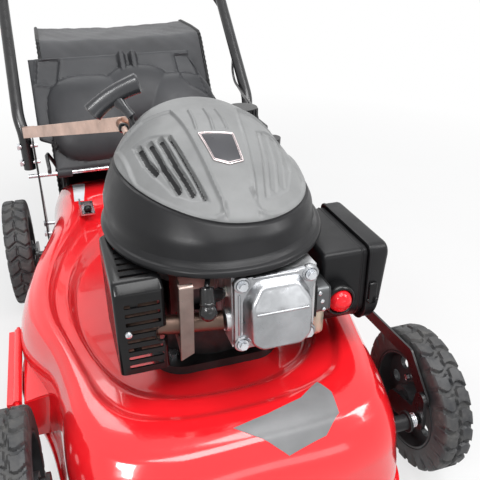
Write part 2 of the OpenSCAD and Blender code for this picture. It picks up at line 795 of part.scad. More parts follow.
tank_low = [64, 150, 250];
tank_size = [84, 80, 166];
cap_at = [116, 194];
neck_d = 34;
module fuel_tank() {
    color("#1d1d20") placed() difference() {
        union() {
            translate(tank_low + [tank_size[0] / 2, tank_size[1] / 2, 0])
                round_plate(tank_size[0], tank_size[1], tank_size[2], 16);
            translate([cap_at[0], cap_at[1], tank_low[2] + tank_size[2]])
                cylinder(d = neck_d, h = 10);
            difference() {
                translate([40, 50, tank_low[2] + 8]) cube([60, 104, 16]);
                translate([0, case_mid_y, 0]) cylinder(r = case_r, h = 400);
            }
        }
        translate(tank_low + [tank_size[0] / 2, tank_size[1] / 2, 3])
            round_plate(tank_size[0] - 6, tank_size[1] - 6, tank_size[2] - 6, 13);
        translate([cap_at[0], cap_at[1], tank_low[2] + tank_size[2] - 10])
            cylinder(d = neck_d - 6, h = 30);
    }
}

cap_ribs = 18;
module fuel_cap() {
    z = tank_low[2] + tank_size[2] + 10.3;
    color("#111113") placed() translate([cap_at[0], cap_at[1], z]) difference() {
        union() {
            translate([0, 0, -9]) cylinder(d = neck_d + 14, h = 23);
            for (k = [0 : cap_ribs - 1]) rotate(360 / cap_ribs * k)
                translate([neck_d / 2 + 5, -1.5, -8]) cube([3.4, 3, 20]);
        }
        translate([0, 0, -10]) cylinder(d = neck_d + 0.8, h = 10);
    }
}

module oil_dipstick() {
    axis = (filler_top - filler_foot) / norm(filler_top - filler_foot);
    seat = filler_top + 0.3 * axis;
    color("#141416") placed() {
        bar(seat, seat + 14 * axis, 32);
        bar(seat - 70 * axis, seat, 8);
    }
}

// ---- shroud and cover ----

dome_rows = 48;
dome_n = 2.1;
dome_lean = 0.45;
wall_share = 0.955;
seam_rise = 30;
flange_h = 8;
half_w = shroud_w / 2;

// Share of the full plan at a height, for a dome whose top is at top
function dome_share(z, top) =
    min(wall_share, sqrt(max(0, 1 - pow(max(0, z - shroud_z) / (top - shroud_z), 1.6))));
function plan_point(t, less, share) =
    let (o = oval(half_w - less, (sin(t) < 0 ? shroud_front : shroud_rear) - less, dome_n, t))
    share * o;
function dome_point(t, z, less) =
    let (o = plan_point(t, less, dome_share(z, cover_top_z - less)))
    [shroud_x + o[0], o[1] + dome_lean * (z - shroud_z), z];
function seam(t) = seam_z + seam_rise * max(0, -cos(t));

module engine_shroud() {
    rows = [for (i = [0 : dome_rows - 1]) let (t = 360 / dome_rows * i, o = plan_point(t, 0, 1))
        concat([[shroud_x + o[0], o[1], shroud_z], [shroud_x + o[0], o[1], shroud_z + flange_h - 2],
            [shroud_x + o[0] * 0.985, o[1] * 0.985, shroud_z + flange_h]],
            [for (k = [0 : 3]) dome_point(t, mix(shroud_z + flange_h, seam(t), k / 3), 0)],
            [for (k = [3 : -1 : 0]) dome_point(t, mix(shroud_z, seam(t), k / 3), shroud_wall)])];
    color("#1b1b1e") placed()
        polyhedron(points = [for (r = rows, p = r) p],
            faces = ring_faces(dome_rows, len(rows[0])), convexity = 6);
}

cover_levels = 7;
slot_count = 4;
slot_w = 5;
rope_exit = [-64, 84, 462];

// Height of a level of the cover: level 0 is the seam and the levels crowd at the top
function cover_level(t, k, less) =
    mix(seam(t), cover_top_z - less - 0.4, sin(90 * k / cover_levels));

module top_cover() {
    n = dome_rows;
    m = cover_levels + 1;
    outer = [for (i = [0 : n - 1], k = [0 : m - 1]) let (t = 360 / n * i)
        dome_point(t, cover_level(t, k, 0), 0)];
    inner = [for (i = [0 : n - 1], k = [0 : m - 1]) let (t = 360 / n * i)
        dome_point(t, cover_level(t, k, shroud_wall), shroud_wall)];
    top = [[shroud_x, dome_lean * (cover_top_z - shroud_z), cover_top_z],
        [shroud_x, dome_lean * (cover_top_z - shroud_z), cover_top_z - shroud_wall]];
    faces = [for (i = [0 : n - 1]) let (j = (i + 1) % n)
        each concat(
            [for (k = [0 : m - 2]) each [[i * m + k, i * m + k + 1, j * m + k + 1],
                [i * m + k, j * m + k + 1, j * m + k],
                [n * m + i * m + k, n * m + j * m + k + 1, n * m + i * m + k + 1],
                [n * m + i * m + k, n * m + j * m + k, n * m + j * m + k + 1]]],
            [[i * m, j * m, n * m + j * m], [i * m, n * m + j * m, n * m + i * m],
             [i * m + m - 1, 2 * n * m, j * m + m - 1],
             [n * m + i * m + m - 1, n * m + j * m + m - 1, 2 * n * m + 1]])];
    color("#8a8c8e") placed() difference() {
        polyhedron(points = concat(outer, inner, top), faces = faces, convexity = 6);
        for (side = [-1, 1], k = [0 : slot_count - 1])
            translate([shroud_x + side * (52 + 13 * (k - 1.5)), -18 + 5 * k, 380])
                rotate(side * 12) translate([-slot_w / 2, -45 + 4 * k, 0])
                    cube([slot_w, 74 - 9 * k, 140]);
        translate(rope_exit - [0, 0, 30]) cylinder(d = 11, h = 60);
        y_cyl(stay_stud - [0, 20, 0], stud_d + 0.6, 60);
    }
}

// ---- starter, flywheel and crankshaft ----

spindle_d = 16;
pulley_r = 50;
pulley_z = disc_z + 3.3;
rope_d = 5;
disc_at = [-1, 10];
module starter_housing() {
    color("#6d7074") placed() {
        difference() {
            union() {
                translate([disc_at[0], disc_at[1], disc_z])
                    cylinder(r = post_ring_r + post_d / 2, h = 3);
                translate([0, 0, disc_z]) cylinder(d = spindle_d, h = 26);
                for (a = post_angles) rotate(a) translate([post_ring_r, 0, case_top])
                    cylinder(d = post_d, h = disc_z - case_top);
            }
            for (k = [0 : 7]) rotate(22 + 45 * k) translate([76, 0, disc_z - 1])
                cylinder(d = 20, h = 6);
        }
    }
}

module starter_pulley() {
    color("#3a3c40") placed() translate([0, 0, pulley_z]) rotate_extrude()
        polygon([[spindle_d / 2 + running_fit, 0], [pulley_r, 0], [pulley_r, 4],
            [pulley_r - 7, 5], [pulley_r - 7, 12], [pulley_r, 13], [pulley_r, 17],
            [spindle_d / 2 + running_fit, 17]]);
}

rope_lead = [-(pulley_r - 7 + 0.5 + rope_d / 2), 2, pulley_z + 8.5];
grip_foot = rope_exit + [-3, 3, 9];
grip_mid = [-86, 100, 496];
grip_half = [33, 0, 18];
module starter_rope() {
    route = [rope_lead, rope_lead + [-2, 30, 3], rope_lead + [-8, 62, 18], rope_exit - [0, 0, 8],
        grip_foot + [-1, 1, 2]];
    color("#202022") placed() cord(smooth_path(route, 3), rope_d, [1, 0, 0]);
}

module starter_grip() {
    color("#2b3136") placed() difference() {
        union() {
            bar(grip_mid - grip_half, grip_mid + grip_half, 19);
            bar(grip_foot, grip_mid, 13);
        }
        bar(grip_foot - [-1, 1, 2], mix(grip_foot, grip_mid, 0.4), rope_d + 4);
    }
}

shaft_low = blade_z + blade_t + 4;
shaft_top = 406;
wheel_z = 370;
module crankshaft() {
    color("#9fa3a8") placed() difference() {
        translate([0, 0, shaft_low]) cylinder(d = crank_d, h = shaft_top - shaft_low);
        translate([0, 0, shaft_low - 1]) cylinder(d = 10, h = 27);
    }
}

fan_blades = 18;
module flywheel() {
    color("#75787c") placed() difference() {
        union() {
            translate([0, 0, wheel_z]) cylinder(r = 90, h = 12);
            translate([0, 0, wheel_z - 6]) cylinder(d = 54, h = 38);
            for (k = [0 : fan_blades - 1]) rotate(360 / fan_blades * k)
                translate([48, -1.5, wheel_z + 11]) cube([40, 3, 21]);
        }
        translate([0, 0, 300]) cylinder(d = crank_d, h = 120);
    }
}

module blade_adapter() {
    z = blade_z + blade_t;
    color("#5d6064") placed() difference() {
        union() {
            translate([0, 0, z]) cylinder(d = 66, h = 8);
            translate([0, 0, z]) cylinder(d = crank_d + 15, h = 40);
        }
        translate([0, 0, z + 4]) cylinder(d = crank_d, h = 60);
        translate([0, 0, z - 1]) cylinder(d = 10, h = 20);
    }
}

module blade() {
    color("#3b3d40") placed() difference() {
        union() {
            intersection() {
                translate([-blade_l / 2, -blade_w / 2, blade_z]) cube([blade_l, blade_w, blade_t]);
                cylinder(d = blade_l, h = 200);
            }
            for (a = [0, 180]) rotate(a) translate([blade_l / 2 - 85, blade_w / 2 - 4, blade_z])
                rotate([32, 0, 0]) cube([66, 26, blade_t]);
        }
        translate([0, 0, 40]) cylinder(d = 10, h = 60);
    }
}

module blade_bolt() {
    color("#a9adb1") placed() translate([0, 0, blade_z]) mirror([0, 0, 1])
        difference() {
            union() {
                cylinder(d = 34, h = 2.5);
                translate([0, 0, 2.5]) cylinder(d = 19, h = 7, $fn = 6);
                translate([0, 0, -blade_t - 26]) cylinder(d = 10, h = blade_t + 26);
            }
        }
}

// ---- handle, brackets and controls ----

bracket_t = 3;
module handle_brackets() {
    color("#121214") placed() for (side = [-1, 1])
        side_profile(side > 0 ? bracket_in_x : -bracket_in_x - bracket_t, bracket_t) difference() {
            union() {
                polygon([[438, 132], [516, 132], [512, 190], [498, 236], [496, 334], [470, 334],
                    [468, 250], [440, 190]]);
            }
            for (y = bracket_bolts_y) translate([y, bracket_bolt_z]) circle(d = bolt_d);
            for (p = handle_bolts) translate(p) circle(d = bolt_d);
            translate(rod_at) circle(d = bolt_d);
        }
}

rod_at = [480, 262];
rod_half = handle_x + 5;
module flap_rod() {
    color("#b9bcc0") placed() x_cyl([0, rod_at[0], rod_at[1]], bolt_d, 2 * rod_half);
}

tube_wall = 1.5;
foot_z = 276;
knee_out = 6;
lower_x = handle_x + knee_out;
upper_x = lower_x - tube_d - 0.4;
fold_tail = 30;

module lower_tube(side) {
    tail = fold_tail * [0, cos_h, sin_h];
    pts = bent_path([[side * handle_x, 485, foot_z], [side * handle_x, 487, 342],
        [side * lower_x, knee_y, knee_z], [side * lower_x, fold_y, fold_z] + tail], 12);
    last = len(pts) - 1;
    bore = [for (k = [0 : last]) k == 0 ? pts[0] - [0, 0, 1]
        : k == last ? pts[last] + tail / fold_tail : pts[k]];
    color("#141518") placed() difference() {
        cord(pts, tube_d, [1, 0, 0], tube_sides);
        cord(bore, tube_d - 2 * tube_wall, [1, 0, 0], tube_sides);
        for (p = handle_bolts) x_cyl([side * handle_x, p[0], p[1]], bolt_d, 60);
        x_cyl([side * lower_x, fold_y, fold_z], bolt_d + 2 * running_fit, 60);
    }
}

module lower_handle_left() { lower_tube(-1); }
module lower_handle_right() { lower_tube(1); }

bail_back = 130;
bail_l = 110;
bail_d = 8;
bail_x = upper_x - tube_d / 2 - bail_d / 2 - 1;
bail_y = handle_end_y - bail_back * cos_h;
bail_z = handle_end_z - bail_back * sin_h;
corner_cut = 44;

module upper_handle() {
    tail = [fold_y - fold_tail * cos_h, fold_z - fold_tail * sin_h];
    pts = bent_path([[-upper_x, tail[0], tail[1]], [-upper_x, handle_end_y, handle_end_z],
        [upper_x, handle_end_y, handle_end_z], [upper_x, tail[0], tail[1]]], corner_cut);
    last = len(pts) - 1;
    across = [0, -sin_h, cos_h];
    out = [0, -cos_h, -sin_h];
    color("#141518") placed() difference() {
        cord(pts, tube_d, across, tube_sides);
        cord([for (k = [0 : last]) k == 0 || k == last ? pts[k] + out : pts[k]],
            tube_d - 2 * tube_wall, across, tube_sides);
        x_cyl([0, fold_y, fold_z], bolt_d + 2 * running_fit, 500);
        x_cyl([0, bail_y, bail_z], bail_d + 2 * running_fit, 2 * upper_x);
    }
}

module fold_knob(side) {
    inner = side * (upper_x - tube_d / 2 - 0.3);
    outer = side * (lower_x + tube_d / 2 + 0.4);
    color("#0e0e10") placed() {
        x_cyl([(inner + outer) / 2, fold_y, fold_z], bolt_d, abs(outer - inner) + 1);
        x_cyl([inner - side * 2.5, fold_y, fold_z], 18, 5);
        translate([outer, fold_y, fold_z]) rotate([0, side * 90, 0]) {
            cylinder(d = 26, h = 18);
            for (k = [0 : 4]) rotate(72 * k) translate([14, 0, 4]) cylinder(d = 14, h = 14);
        }
    }
}

module fold_knob_left() { fold_knob(-1); }
module fold_knob_right() { fold_knob(1); }

bail_open = 35;
bail_bend = 20;
module bail_bar() {
    a = handle_slope + bail_open;
    end = [bail_y + bail_l * cos(a), bail_z + bail_l * sin(a)];
    foot = [bail_y - bail_d * cos(a), bail_z - bail_d * sin(a)];
    color("#1a1b1e") placed() {
        for (side = [-1, 1])
            bar([side * bail_x, bail_y, bail_z], [side * (upper_x - 1), bail_y, bail_z], bail_d);
        cord(bent_path([[-bail_x, foot[0], foot[1]], [-bail_x, end[0], end[1]],
            [bail_x, end[0], end[1]], [bail_x, foot[0], foot[1]]], bail_bend), bail_d,
            [0, -sin(a), cos(a)]);
    }
}

// Brake cable: from the bail's pivot down the right tube to the clip on the fuel tank
cable_d = 5;
cable_route = [[204.6, 1084, 894], [204.6, 915, 736], [205, 778, 608], [214, 730, 556],
    [227, 680, 516], [227, 610, 450], [216, 570, 416], [210, 535, 400], [202, 480, 398],
    [188, 410, 402], [174, 330, 408], [164, 262, 404], [156, 230, 394], [151, 218, 376]];
module brake_cable() {
    color("#101012") placed() cord(smooth_path(cable_route, 4), cable_d, [1, 0, 0]);
}

stay_left = [-handle_x - 1, 470, 352];
stay_right = [-68, 124, 452];
stay_h = 20;
stay_t = 2.5;
stay_stud = [-76, 84, 449];
stud_d = 8;
module handle_stay() {
    pad_y = stay_left[1] - stay_t / 2;
    color("#b49a86") placed() {
        hull() for (p = [stay_left, stay_right])
            translate(p - [0, stay_t / 2, stay_h / 2]) cube([1, stay_t, stay_h]);
        // pad against the handle tube
        translate([stay_left[0], pad_y, stay_left[2] - stay_h / 2]) cube([22, 7.2, stay_h]);
        // stud and ball nut through the cover
        y_cyl(stay_stud, stud_d, 66);
        translate(stay_stud + [0, 32, 0]) sphere(d = 13);
        y_cyl(stay_stud + [0, 53, 0], 15, 7);
    }
}

module cable_bracket() {
    color("#c4c7ca") placed() difference() {
        union() {
            translate([cable_bolt[0] - 12, cable_bolt[1] - 34, crest_rear_z + 0.3])
                cube([26, 60, 2.7]);
            translate([cable_bolt[0] - 12, cable_bolt[1] - 34, crest_rear_z + 0.3])
                cube([2.7, 30, 22]);
            translate([cable_bolt[0] + 2, cable_bolt[1] - 28, crest_rear_z + 10]) sphere(d = 14);
            translate([cable_bolt[0] + 2, cable_bolt[1] - 28, crest_rear_z]) cylinder(d = 6, h = 10);
        }
        translate([cable_bolt[0], cable_bolt[1], 100]) cylinder(d = bolt_d, h = 200);
    }
}

// ---- flaps and catcher ----

flap_angle = 52;
flap_t = 4;
flap_w = catcher_w;
lid_plan = [[-flap_w / 2 - 24, 60], [flap_w / 2 + 2, 60], [flap_w / 2 + 2, 120],
    [flap_w / 2 - 22, 178], [flap_w / 2 - 38, 220], [flap_w / 2 - 42, flap_l],
    [-flap_w / 2 - 24, flap_l]];
flap_off = 5;
knuckle_d = 18;
module rear_flap() {
    color("#3f4145") placed() translate([0, rod_at[0], rod_at[1]]) rotate([flap_angle, 0, 0])
        difference() {
            union() {
                translate([-flap_w / 2, 0, flap_off]) cube([flap_w, 80, flap_t]);
                translate([0, 0, flap_off]) linear_extrude(flap_t) polygon(lid_plan);
                for (side = [-1, 1]) x_cyl([side * (flap_w / 2 - 14), 0, 0], knuckle_d, 28);
                x_cyl([0, 0, 0], knuckle_d, 60);
                for (side = [-1, 1]) intersection() {
                    translate([side * 78, 104, -70]) sphere(r = 112, $fn = 64);
                    translate([side * 78 - 77, 6, flap_off + 1]) cube([154, 200, 60]);
                }
                translate([-14, 20, flap_off]) cube([28, flap_l - 30, 14]);
            }
            x_cyl([0, 0, 0], bolt_d + 2 * running_fit, flap_w + 10);
            // hollow undersides of the domes
            for (side = [-1, 1]) intersection() {
                translate([side * 78, 104, -70]) sphere(r = 109, $fn = 64);
                translate([side * 78 - 74, 9, flap_off - 1]) cube([148, 194, 60]);
            }
        }
}

port_pin = [2.4 - deck_left, 128];
port_pin_d = 6;
module side_flap() {
    y0 = side_port_y[0] - 8;
    y1 = side_port_y[1] + 8;
    x_out = -deck_left - deck_lip - 6;
    color("#c8141a") placed() {
        y_cyl([port_pin[0], y0 - 8, port_pin[1]], port_pin_d, y1 - y0 + 16);
        y_cyl([port_pin[0], y0 + 1, port_pin[1]], 12, y1 - y0 - 2);
        translate([x_out, y0 + 1, skirt_z + 4]) cube([3, y1 - y0 - 2, port_pin[1] - skirt_z - 4]);
        translate([x_out, y0 + 1, port_pin[1] - 1.5]) cube([port_pin[0] - x_out, y1 - y0 - 2, 3]);
    }
}

mouth_y = deck_rear + 8;
frame_d = 10;
frame_half = catcher_w / 2 - 12;
mouth_z = [112, 234];
hook_x = frame_half + 26;
hook_d = 8;
module catcher_frame() {
    y = mouth_y + frame_d / 2;
    corners = [for (p = [[1, 0], [1, 1], [-1, 1], [-1, 0]])
        [p[0] * frame_half, y, mouth_z[p[1]]]];
    hook_z = rod_at[1] + bolt_d / 2 + 4.3;
    color("#17181a") placed() {
        for (k = [0 : 3]) {
            bar(corners[k], corners[(k + 1) % 4], frame_d);
            translate(corners[k]) sphere(d = frame_d);
        }
        for (side = [-1, 1])
            cord(smooth_path([[side * frame_half, y, mouth_z[1] - 16],
                [side * hook_x, y - 24, hook_z + 10], [side * hook_x, rod_at[0] + 14, hook_z],
                [side * hook_x, rod_at[0] - 7, hook_z]], 3), hook_d, [1, 0, 0]);
    }
}

// Side outline of the catcher, moved inwards by less
slope_dir = [cos(flap_angle), sin(flap_angle)];
slope_up = [-sin(flap_angle), cos(flap_angle)];
catcher_rear = mouth_y + catcher_l;
catcher_top = 486;
function on_slope(t, off) = rod_at + t * slope_dir + off * slope_up;
module catcher_outline(less) {
    y0 = mouth_y + frame_d + 0.3 + less;
    off = -18 - less;
    t0 = (y0 - rod_at[0] - off * slope_up[0]) / slope_dir[0];
    t1 = (catcher_top - less - rod_at[1] - off * slope_up[1]) / slope_dir[1];
    polygon([[y0, 104 + less], on_slope(t0, off), on_slope(t1, off),
        [catcher_rear - 90, catcher_top - less], [catcher_rear - 30 - less, 446 - less / 2],
        [catcher_rear - less, 210], [catcher_rear - 28 - less / 2, 150 + less / 2],
        [catcher_rear - 60, 130 + less]]);
}

pad_t = 200;
module catcher_bag() {
    color("#2b2d30") placed() difference() {
        union() {
            side_profile(-catcher_w / 2, catcher_w) catcher_outline(0);
            // pads on which the rear flap rests
            translate([0, rod_at[0], rod_at[1]]) rotate([flap_angle, 0, 0])
                for (side = [-1, 1]) translate([side * 110 - 12, pad_t, -19])
                    cube([24, 20, 19 + flap_off - 0.3]);
        }
        side_profile(-catcher_w / 2 + catcher_wall, catcher_w - 2 * catcher_wall)
            catcher_outline(catcher_wall);
        translate([-frame_half + 8, mouth_y - 10, mouth_z[0] + 8])
            cube([2 * frame_half - 16, 60, mouth_z[1] - mouth_z[0] - 16]);
    }
}

deck_shell();
crankcase();
engine_barrel();
valve_cover();
flange_bolts();
spark_plug();
spark_boot();
ignition_coil();
muffler();
muffler_guard();
heat_plate();
carburettor();
air_filter_base();
filter_element();
air_filter_cover();
primer_bulb();
fuel_tank();
fuel_cap();
oil_dipstick();
engine_shroud();
top_cover();
starter_housing();
starter_pulley();
starter_rope();
starter_grip();
crankshaft();
flywheel();
blade_adapter();
blade();
blade_bolt();
cable_bracket();
handle_stay();
handle_brackets();
flap_rod();
rear_flap();
side_flap();
axle_bushes();
height_sector();
height_lever();
rear_axle();
front_axle();
side_link();
axle_spring();
front_left_tyre();
front_left_rim();
front_right_tyre();
front_right_rim();
rear_left_tyre();
rear_left_rim();
rear_right_tyre();
rear_right_rim();
lower_handle_left();
lower_handle_right();
upper_handle();
fold_knob_left();
fold_knob_right();
bail_bar();
brake_cable();
catcher_frame();
catcher_bag();
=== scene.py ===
import math

import bmesh
import bpy
import numpy as np
from mathutils import Matrix, Vector
from mathutils.bvhtree import BVHTree


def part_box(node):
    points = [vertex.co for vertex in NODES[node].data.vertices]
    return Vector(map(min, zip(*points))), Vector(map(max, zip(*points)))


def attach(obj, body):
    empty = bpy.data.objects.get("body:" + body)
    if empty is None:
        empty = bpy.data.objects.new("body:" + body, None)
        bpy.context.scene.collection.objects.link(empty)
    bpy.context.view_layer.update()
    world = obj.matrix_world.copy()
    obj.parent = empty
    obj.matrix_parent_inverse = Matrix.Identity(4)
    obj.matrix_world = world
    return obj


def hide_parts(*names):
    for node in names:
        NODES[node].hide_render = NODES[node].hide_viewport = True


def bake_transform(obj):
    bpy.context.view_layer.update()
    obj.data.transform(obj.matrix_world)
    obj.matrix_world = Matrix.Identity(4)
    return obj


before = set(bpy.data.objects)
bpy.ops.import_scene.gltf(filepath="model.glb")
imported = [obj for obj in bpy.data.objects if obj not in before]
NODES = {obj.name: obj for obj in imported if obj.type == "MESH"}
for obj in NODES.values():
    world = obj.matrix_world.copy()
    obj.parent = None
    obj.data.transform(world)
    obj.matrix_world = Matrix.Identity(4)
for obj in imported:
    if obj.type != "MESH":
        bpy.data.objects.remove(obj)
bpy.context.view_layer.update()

# Millimetres from here on, with the origin on the ground under the crankshaft.
crank_low, crank_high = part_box("crankshaft")
ORIGIN = Vector(((crank_low.x + crank_high.x) / 2, (crank_low.y + crank_high.y) / 2, 0))

# a height above the deck and the cover, for rays that look down on them
RAYS_FROM = 700


def at(p):
    """A point in design millimetres, in the scene's metres."""
    return Vector((p[0], p[1], p[2])) / 1000 + ORIGIN


# ---------------------------------------------------------------- camera and light

CAMERA_AT = (-164.49, -686.14, 688.72)
CAMERA_RIGHT = Vector((0.95286, -0.30328, -0.00918))
CAMERA_UP = Vector((0.14771, 0.43726, 0.88712))
LENS = 45.306
SOFT_LIGHT = 0.26

scene = bpy.context.scene
scene.view_settings.view_transform = "Standard"
cam_data = bpy.data.cameras.new("camera")
cam_data.lens = LENS
cam_data.sensor_width = 36
cam_data.clip_start = 0.05
cam_data.clip_end = 30
camera = bpy.data.objects.new("camera", cam_data)
scene.collection.objects.link(camera)
scene.camera = camera
back = CAMERA_RIGHT.cross(CAMERA_UP).normalized()
up = back.cross(CAMERA_RIGHT).normalized()
rotation = Matrix((CAMERA_RIGHT.normalized(), up, back)).transposed()
camera.rotation_mode = "QUATERNION"
camera.rotation_quaternion = rotation.to_quaternion()
camera.location = at(CAMERA_AT)


def area_light(name, place, target, size_x, size_y, power):
    data = bpy.data.lights.new(name, "AREA")
    data.shape = "RECTANGLE"
    data.size, data.size_y = size_x, size_y
    data.energy = power
    ob = bpy.data.objects.new(name, data)
    scene.collection.objects.link(ob)
    ob.location = at(place)
    ob.rotation_mode = "QUATERNION"
    ob.rotation_quaternion = (at(target) - at(place)).to_track_quat("-Z", "Y")
    return ob


area_light("key", (-1700, -1500, 2300), (0, 0, 250), 0.9, 0.5, 46)
area_light("fill", (1900, -900, 1900), (0, 100, 250), 0.7, 0.9, 26)
area_light("front", (750, -2500, 850), (0, 0, 250), 1.6, 0.5, 5)
area_light("top", (450, -750, 2700), (0, 100, 300), 1.9, 1.3, 62)
area_light("back", (100, 1900, 2600), (0, 400, 300), 2.2, 1.0, 26)


def maths(tree, operation, a, b):
    """A math node fed by two outputs."""
    n = tree.nodes.new("ShaderNodeMath")
    n.operation = operation
    tree.links.new(a, n.inputs[0])
    tree.links.new(b, n.inputs[1])
    return n.outputs[0]


def seen_rays(tree):
    """1 for rays that see the background: from the camera, in a reflection or through glass."""
    path = tree.nodes.new("ShaderNodeLightPath").outputs
    out = path["Is Camera Ray"]
    for kind in ("Is Glossy Ray", "Is Transmission Ray"):
        out = maths(tree, "MAXIMUM", out, path[kind])
    return out


world = bpy.data.worlds.new("studio")
scene.world = world
world.use_nodes = True
wt = world.node_tree
wt.nodes.clear()
w_out = wt.nodes.new("ShaderNodeOutputWorld")
w_mix = wt.nodes.new("ShaderNodeMixShader")
wt.links.new(seen_rays(wt), w_mix.inputs["Fac"])
for k, (color, strength) in enumerate((((0.94, 0.96, 1.0, 1), SOFT_LIGHT), ((1, 1, 1, 1), 1.0))):
    w_back = wt.nodes.new("ShaderNodeBackground")
    w_back.inputs["Color"].default_value = color
    w_back.inputs["Strength"].default_value = strength
    wt.links.new(w_back.outputs[0], w_mix.inputs[k + 1])
wt.links.new(w_mix.outputs[0], w_out.inputs["Surface"])


# ---------------------------------------------------------------- materials


class Graph:
    """A material with a Principled shader and a few shortcuts for its nodes."""

    def __init__(self, name, color, rough=0.5, metal=0.0, **sockets):
        self.m = bpy.data.materials.new(name)
        self.m.use_nodes = True
        self.t = self.m.node_tree
        self.b = self.t.nodes["Principled BSDF"]
        self.b.inputs["Base Color"].default_value = (*color, 1)
        self.b.inputs["Roughness"].default_value = rough
        self.b.inputs["Metallic"].default_value = metal
        for k, v in sockets.items():
            self.b.inputs[k.replace("_", " ")].default_value = v
        self.coord = self.t.nodes.new("ShaderNodeTexCoord").outputs["Object"]
        self.height = None

    def node(self, kind, **inputs):
        n = self.t.nodes.new(kind)
        for k, v in inputs.items():
            n.inputs[k.replace("_", " ")].default_value = v
        return n

    def link(self, a, b):
        self.t.links.new(a, b)

    def noise(self, scale, detail=3.0, rough=0.55, stretch=None):
        n = self.node("ShaderNodeTexNoise", Scale=scale, Detail=detail, Roughness=rough)
        if stretch:
            s = self.node("ShaderNodeMapping", Scale=stretch)
            self.link(self.coord, s.inputs["Vector"])
            self.link(s.outputs[0], n.inputs["Vector"])
        else:
            self.link(self.coord, n.inputs["Vector"])
        return n.outputs["Fac"]

    def ramp(self, fac, stops):
        r = self.t.nodes.new("ShaderNodeValToRGB")
        e = r.color_ramp.elements
        while len(e) < len(stops):
            e.new(0.5)
        for k, (p, c) in enumerate(stops):
            e[k].position = p
            e[k].color = (*c, 1) if len(c) == 3 else c
        self.link(fac, r.inputs["Fac"])
        return r.outputs["Color"]

    def grey(self, fac, low, high, a=0.3, b=0.7):
        return self.ramp(fac, [(a, (low,) * 3), (b, (high,) * 3)])

    def mix(self, fac, a, b):
        n = self.t.nodes.new("ShaderNodeMix")
        n.data_type = "RGBA"
        for socket, v in ((n.inputs["Factor"], fac), (n.inputs["A"], a), (n.inputs["B"], b)):
            if hasattr(v, "is_output"):
                self.link(v, socket)
            elif isinstance(v, (int, float)):
                socket.default_value = v
            else:
                socket.default_value = (*v, 1)
        return n.outputs["Result"]

    def tint(self, fac, dark, light):
        """Base colour that wanders between two colours."""
        self.link(self.ramp(fac, [(0.3, dark), (0.7, light)]), self.b.inputs["Base Color"])

    def base(self, out):
        self.link(out, self.b.inputs["Base Color"])

    def roughness(self, fac, low, high):
        self.link(self.grey(fac, low, high), self.b.inputs["Roughness"])

    def bump(self, fac, strength, distance):
        n = self.node("ShaderNodeBump", Strength=strength, Distance=distance)
        self.link(fac, n.inputs["Height"])
        if self.height is not None:
            self.link(self.height, n.inputs["Normal"])
        self.height = n.outputs["Normal"]
        self.link(self.height, self.b.inputs["Normal"])


def toned(color, factor, add=0.0):
    """A darker or lighter tone of a colour."""
    return tuple(min(1, c * factor + add) for c in color)


def paint(name, color, rough, coat=0.7, peel=0.05):
    g = Graph(name, color, rough, Coat_Weight=coat, Coat_Roughness=0.03)
    g.tint(g.noise(7, 2), toned(color, 0.86), toned(color, 1.08))
    g.roughness(g.noise(60, 4), rough * 0.8, rough * 1.35)
    g.bump(g.noise(420, 2), peel, 0.0004)
    g.bump(g.noise(14, 2), 2 * peel, 0.0012)
    return g.m


def moulded(name, color, rough, grain=900.0, bump=0.25, shine=0.32):
    g = Graph(name, color, rough, Specular_IOR_Level=shine)
    g.tint(g.noise(9, 5, 0.6), toned(color, 0.78), toned(color, 1.18, 0.002))
    g.roughness(g.noise(35, 5), rough * 0.82, min(1, rough * 1.2))
    g.bump(g.noise(grain, 3), bump, 0.0003)
    return g.m


def metal(name, color, rough, grain=350.0, bump=0.2, stretch=None):
    g = Graph(name, color, rough, 1.0)
    g.tint(g.noise(25, 6, 0.62, stretch), toned(color, 0.72), toned(color, 1.12))
    g.roughness(g.noise(90, 4, 0.6, stretch), rough * 0.75, min(1, rough * 1.4))
    g.bump(g.noise(grain, 3, 0.6, stretch), bump, 0.0003)
    return g.m


def tyre_rubber():
    g = Graph("tyre_rubber", (0.03, 0.031, 0.034), 0.55, Specular_IOR_Level=0.4)
    dust = g.noise(38, 8, 0.72)
    fine = g.noise(260, 5, 0.7)
    worn = g.ramp(dust, [(0.38, (0.022, 0.023, 0.026)), (0.6, (0.06, 0.059, 0.058)),
                         (0.78, (0.13, 0.125, 0.115))])
    g.base(g.mix(g.grey(fine, 0.0, 0.35, 0.55, 0.8), worn, (0.11, 0.105, 0.098)))
    g.roughness(dust, 0.34, 0.8)
    g.bump(fine, 0.35, 0.0005)
    return g.m


def weave(name, color, pitch, depth=0.5):
    g = Graph(name, color, 0.85, Sheen_Weight=0.25, Sheen_Roughness=0.5)
    waves = []
    for turn in ((1, 0.35, 0.6), (0.2, 1, -0.75)):
        m = g.node("ShaderNodeMapping", Rotation=turn)
        g.link(g.coord, m.inputs["Vector"])
        w = g.node("ShaderNodeTexWave", Scale=pitch, Distortion=0.4, Detail=1.0)
        g.link(m.outputs[0], w.inputs["Vector"])
        waves.append(w.outputs["Fac"])
    threads = maths(g.t, "MULTIPLY", *waves)
    cloth = g.ramp(threads, [(0.1, toned(color, 0.45)), (0.6, color)])
    g.base(g.mix(g.grey(g.noise(20, 4), 0.0, 0.35), cloth, toned(color, 1.5)))
    g.bump(threads, depth, 0.0006)
    return g.m


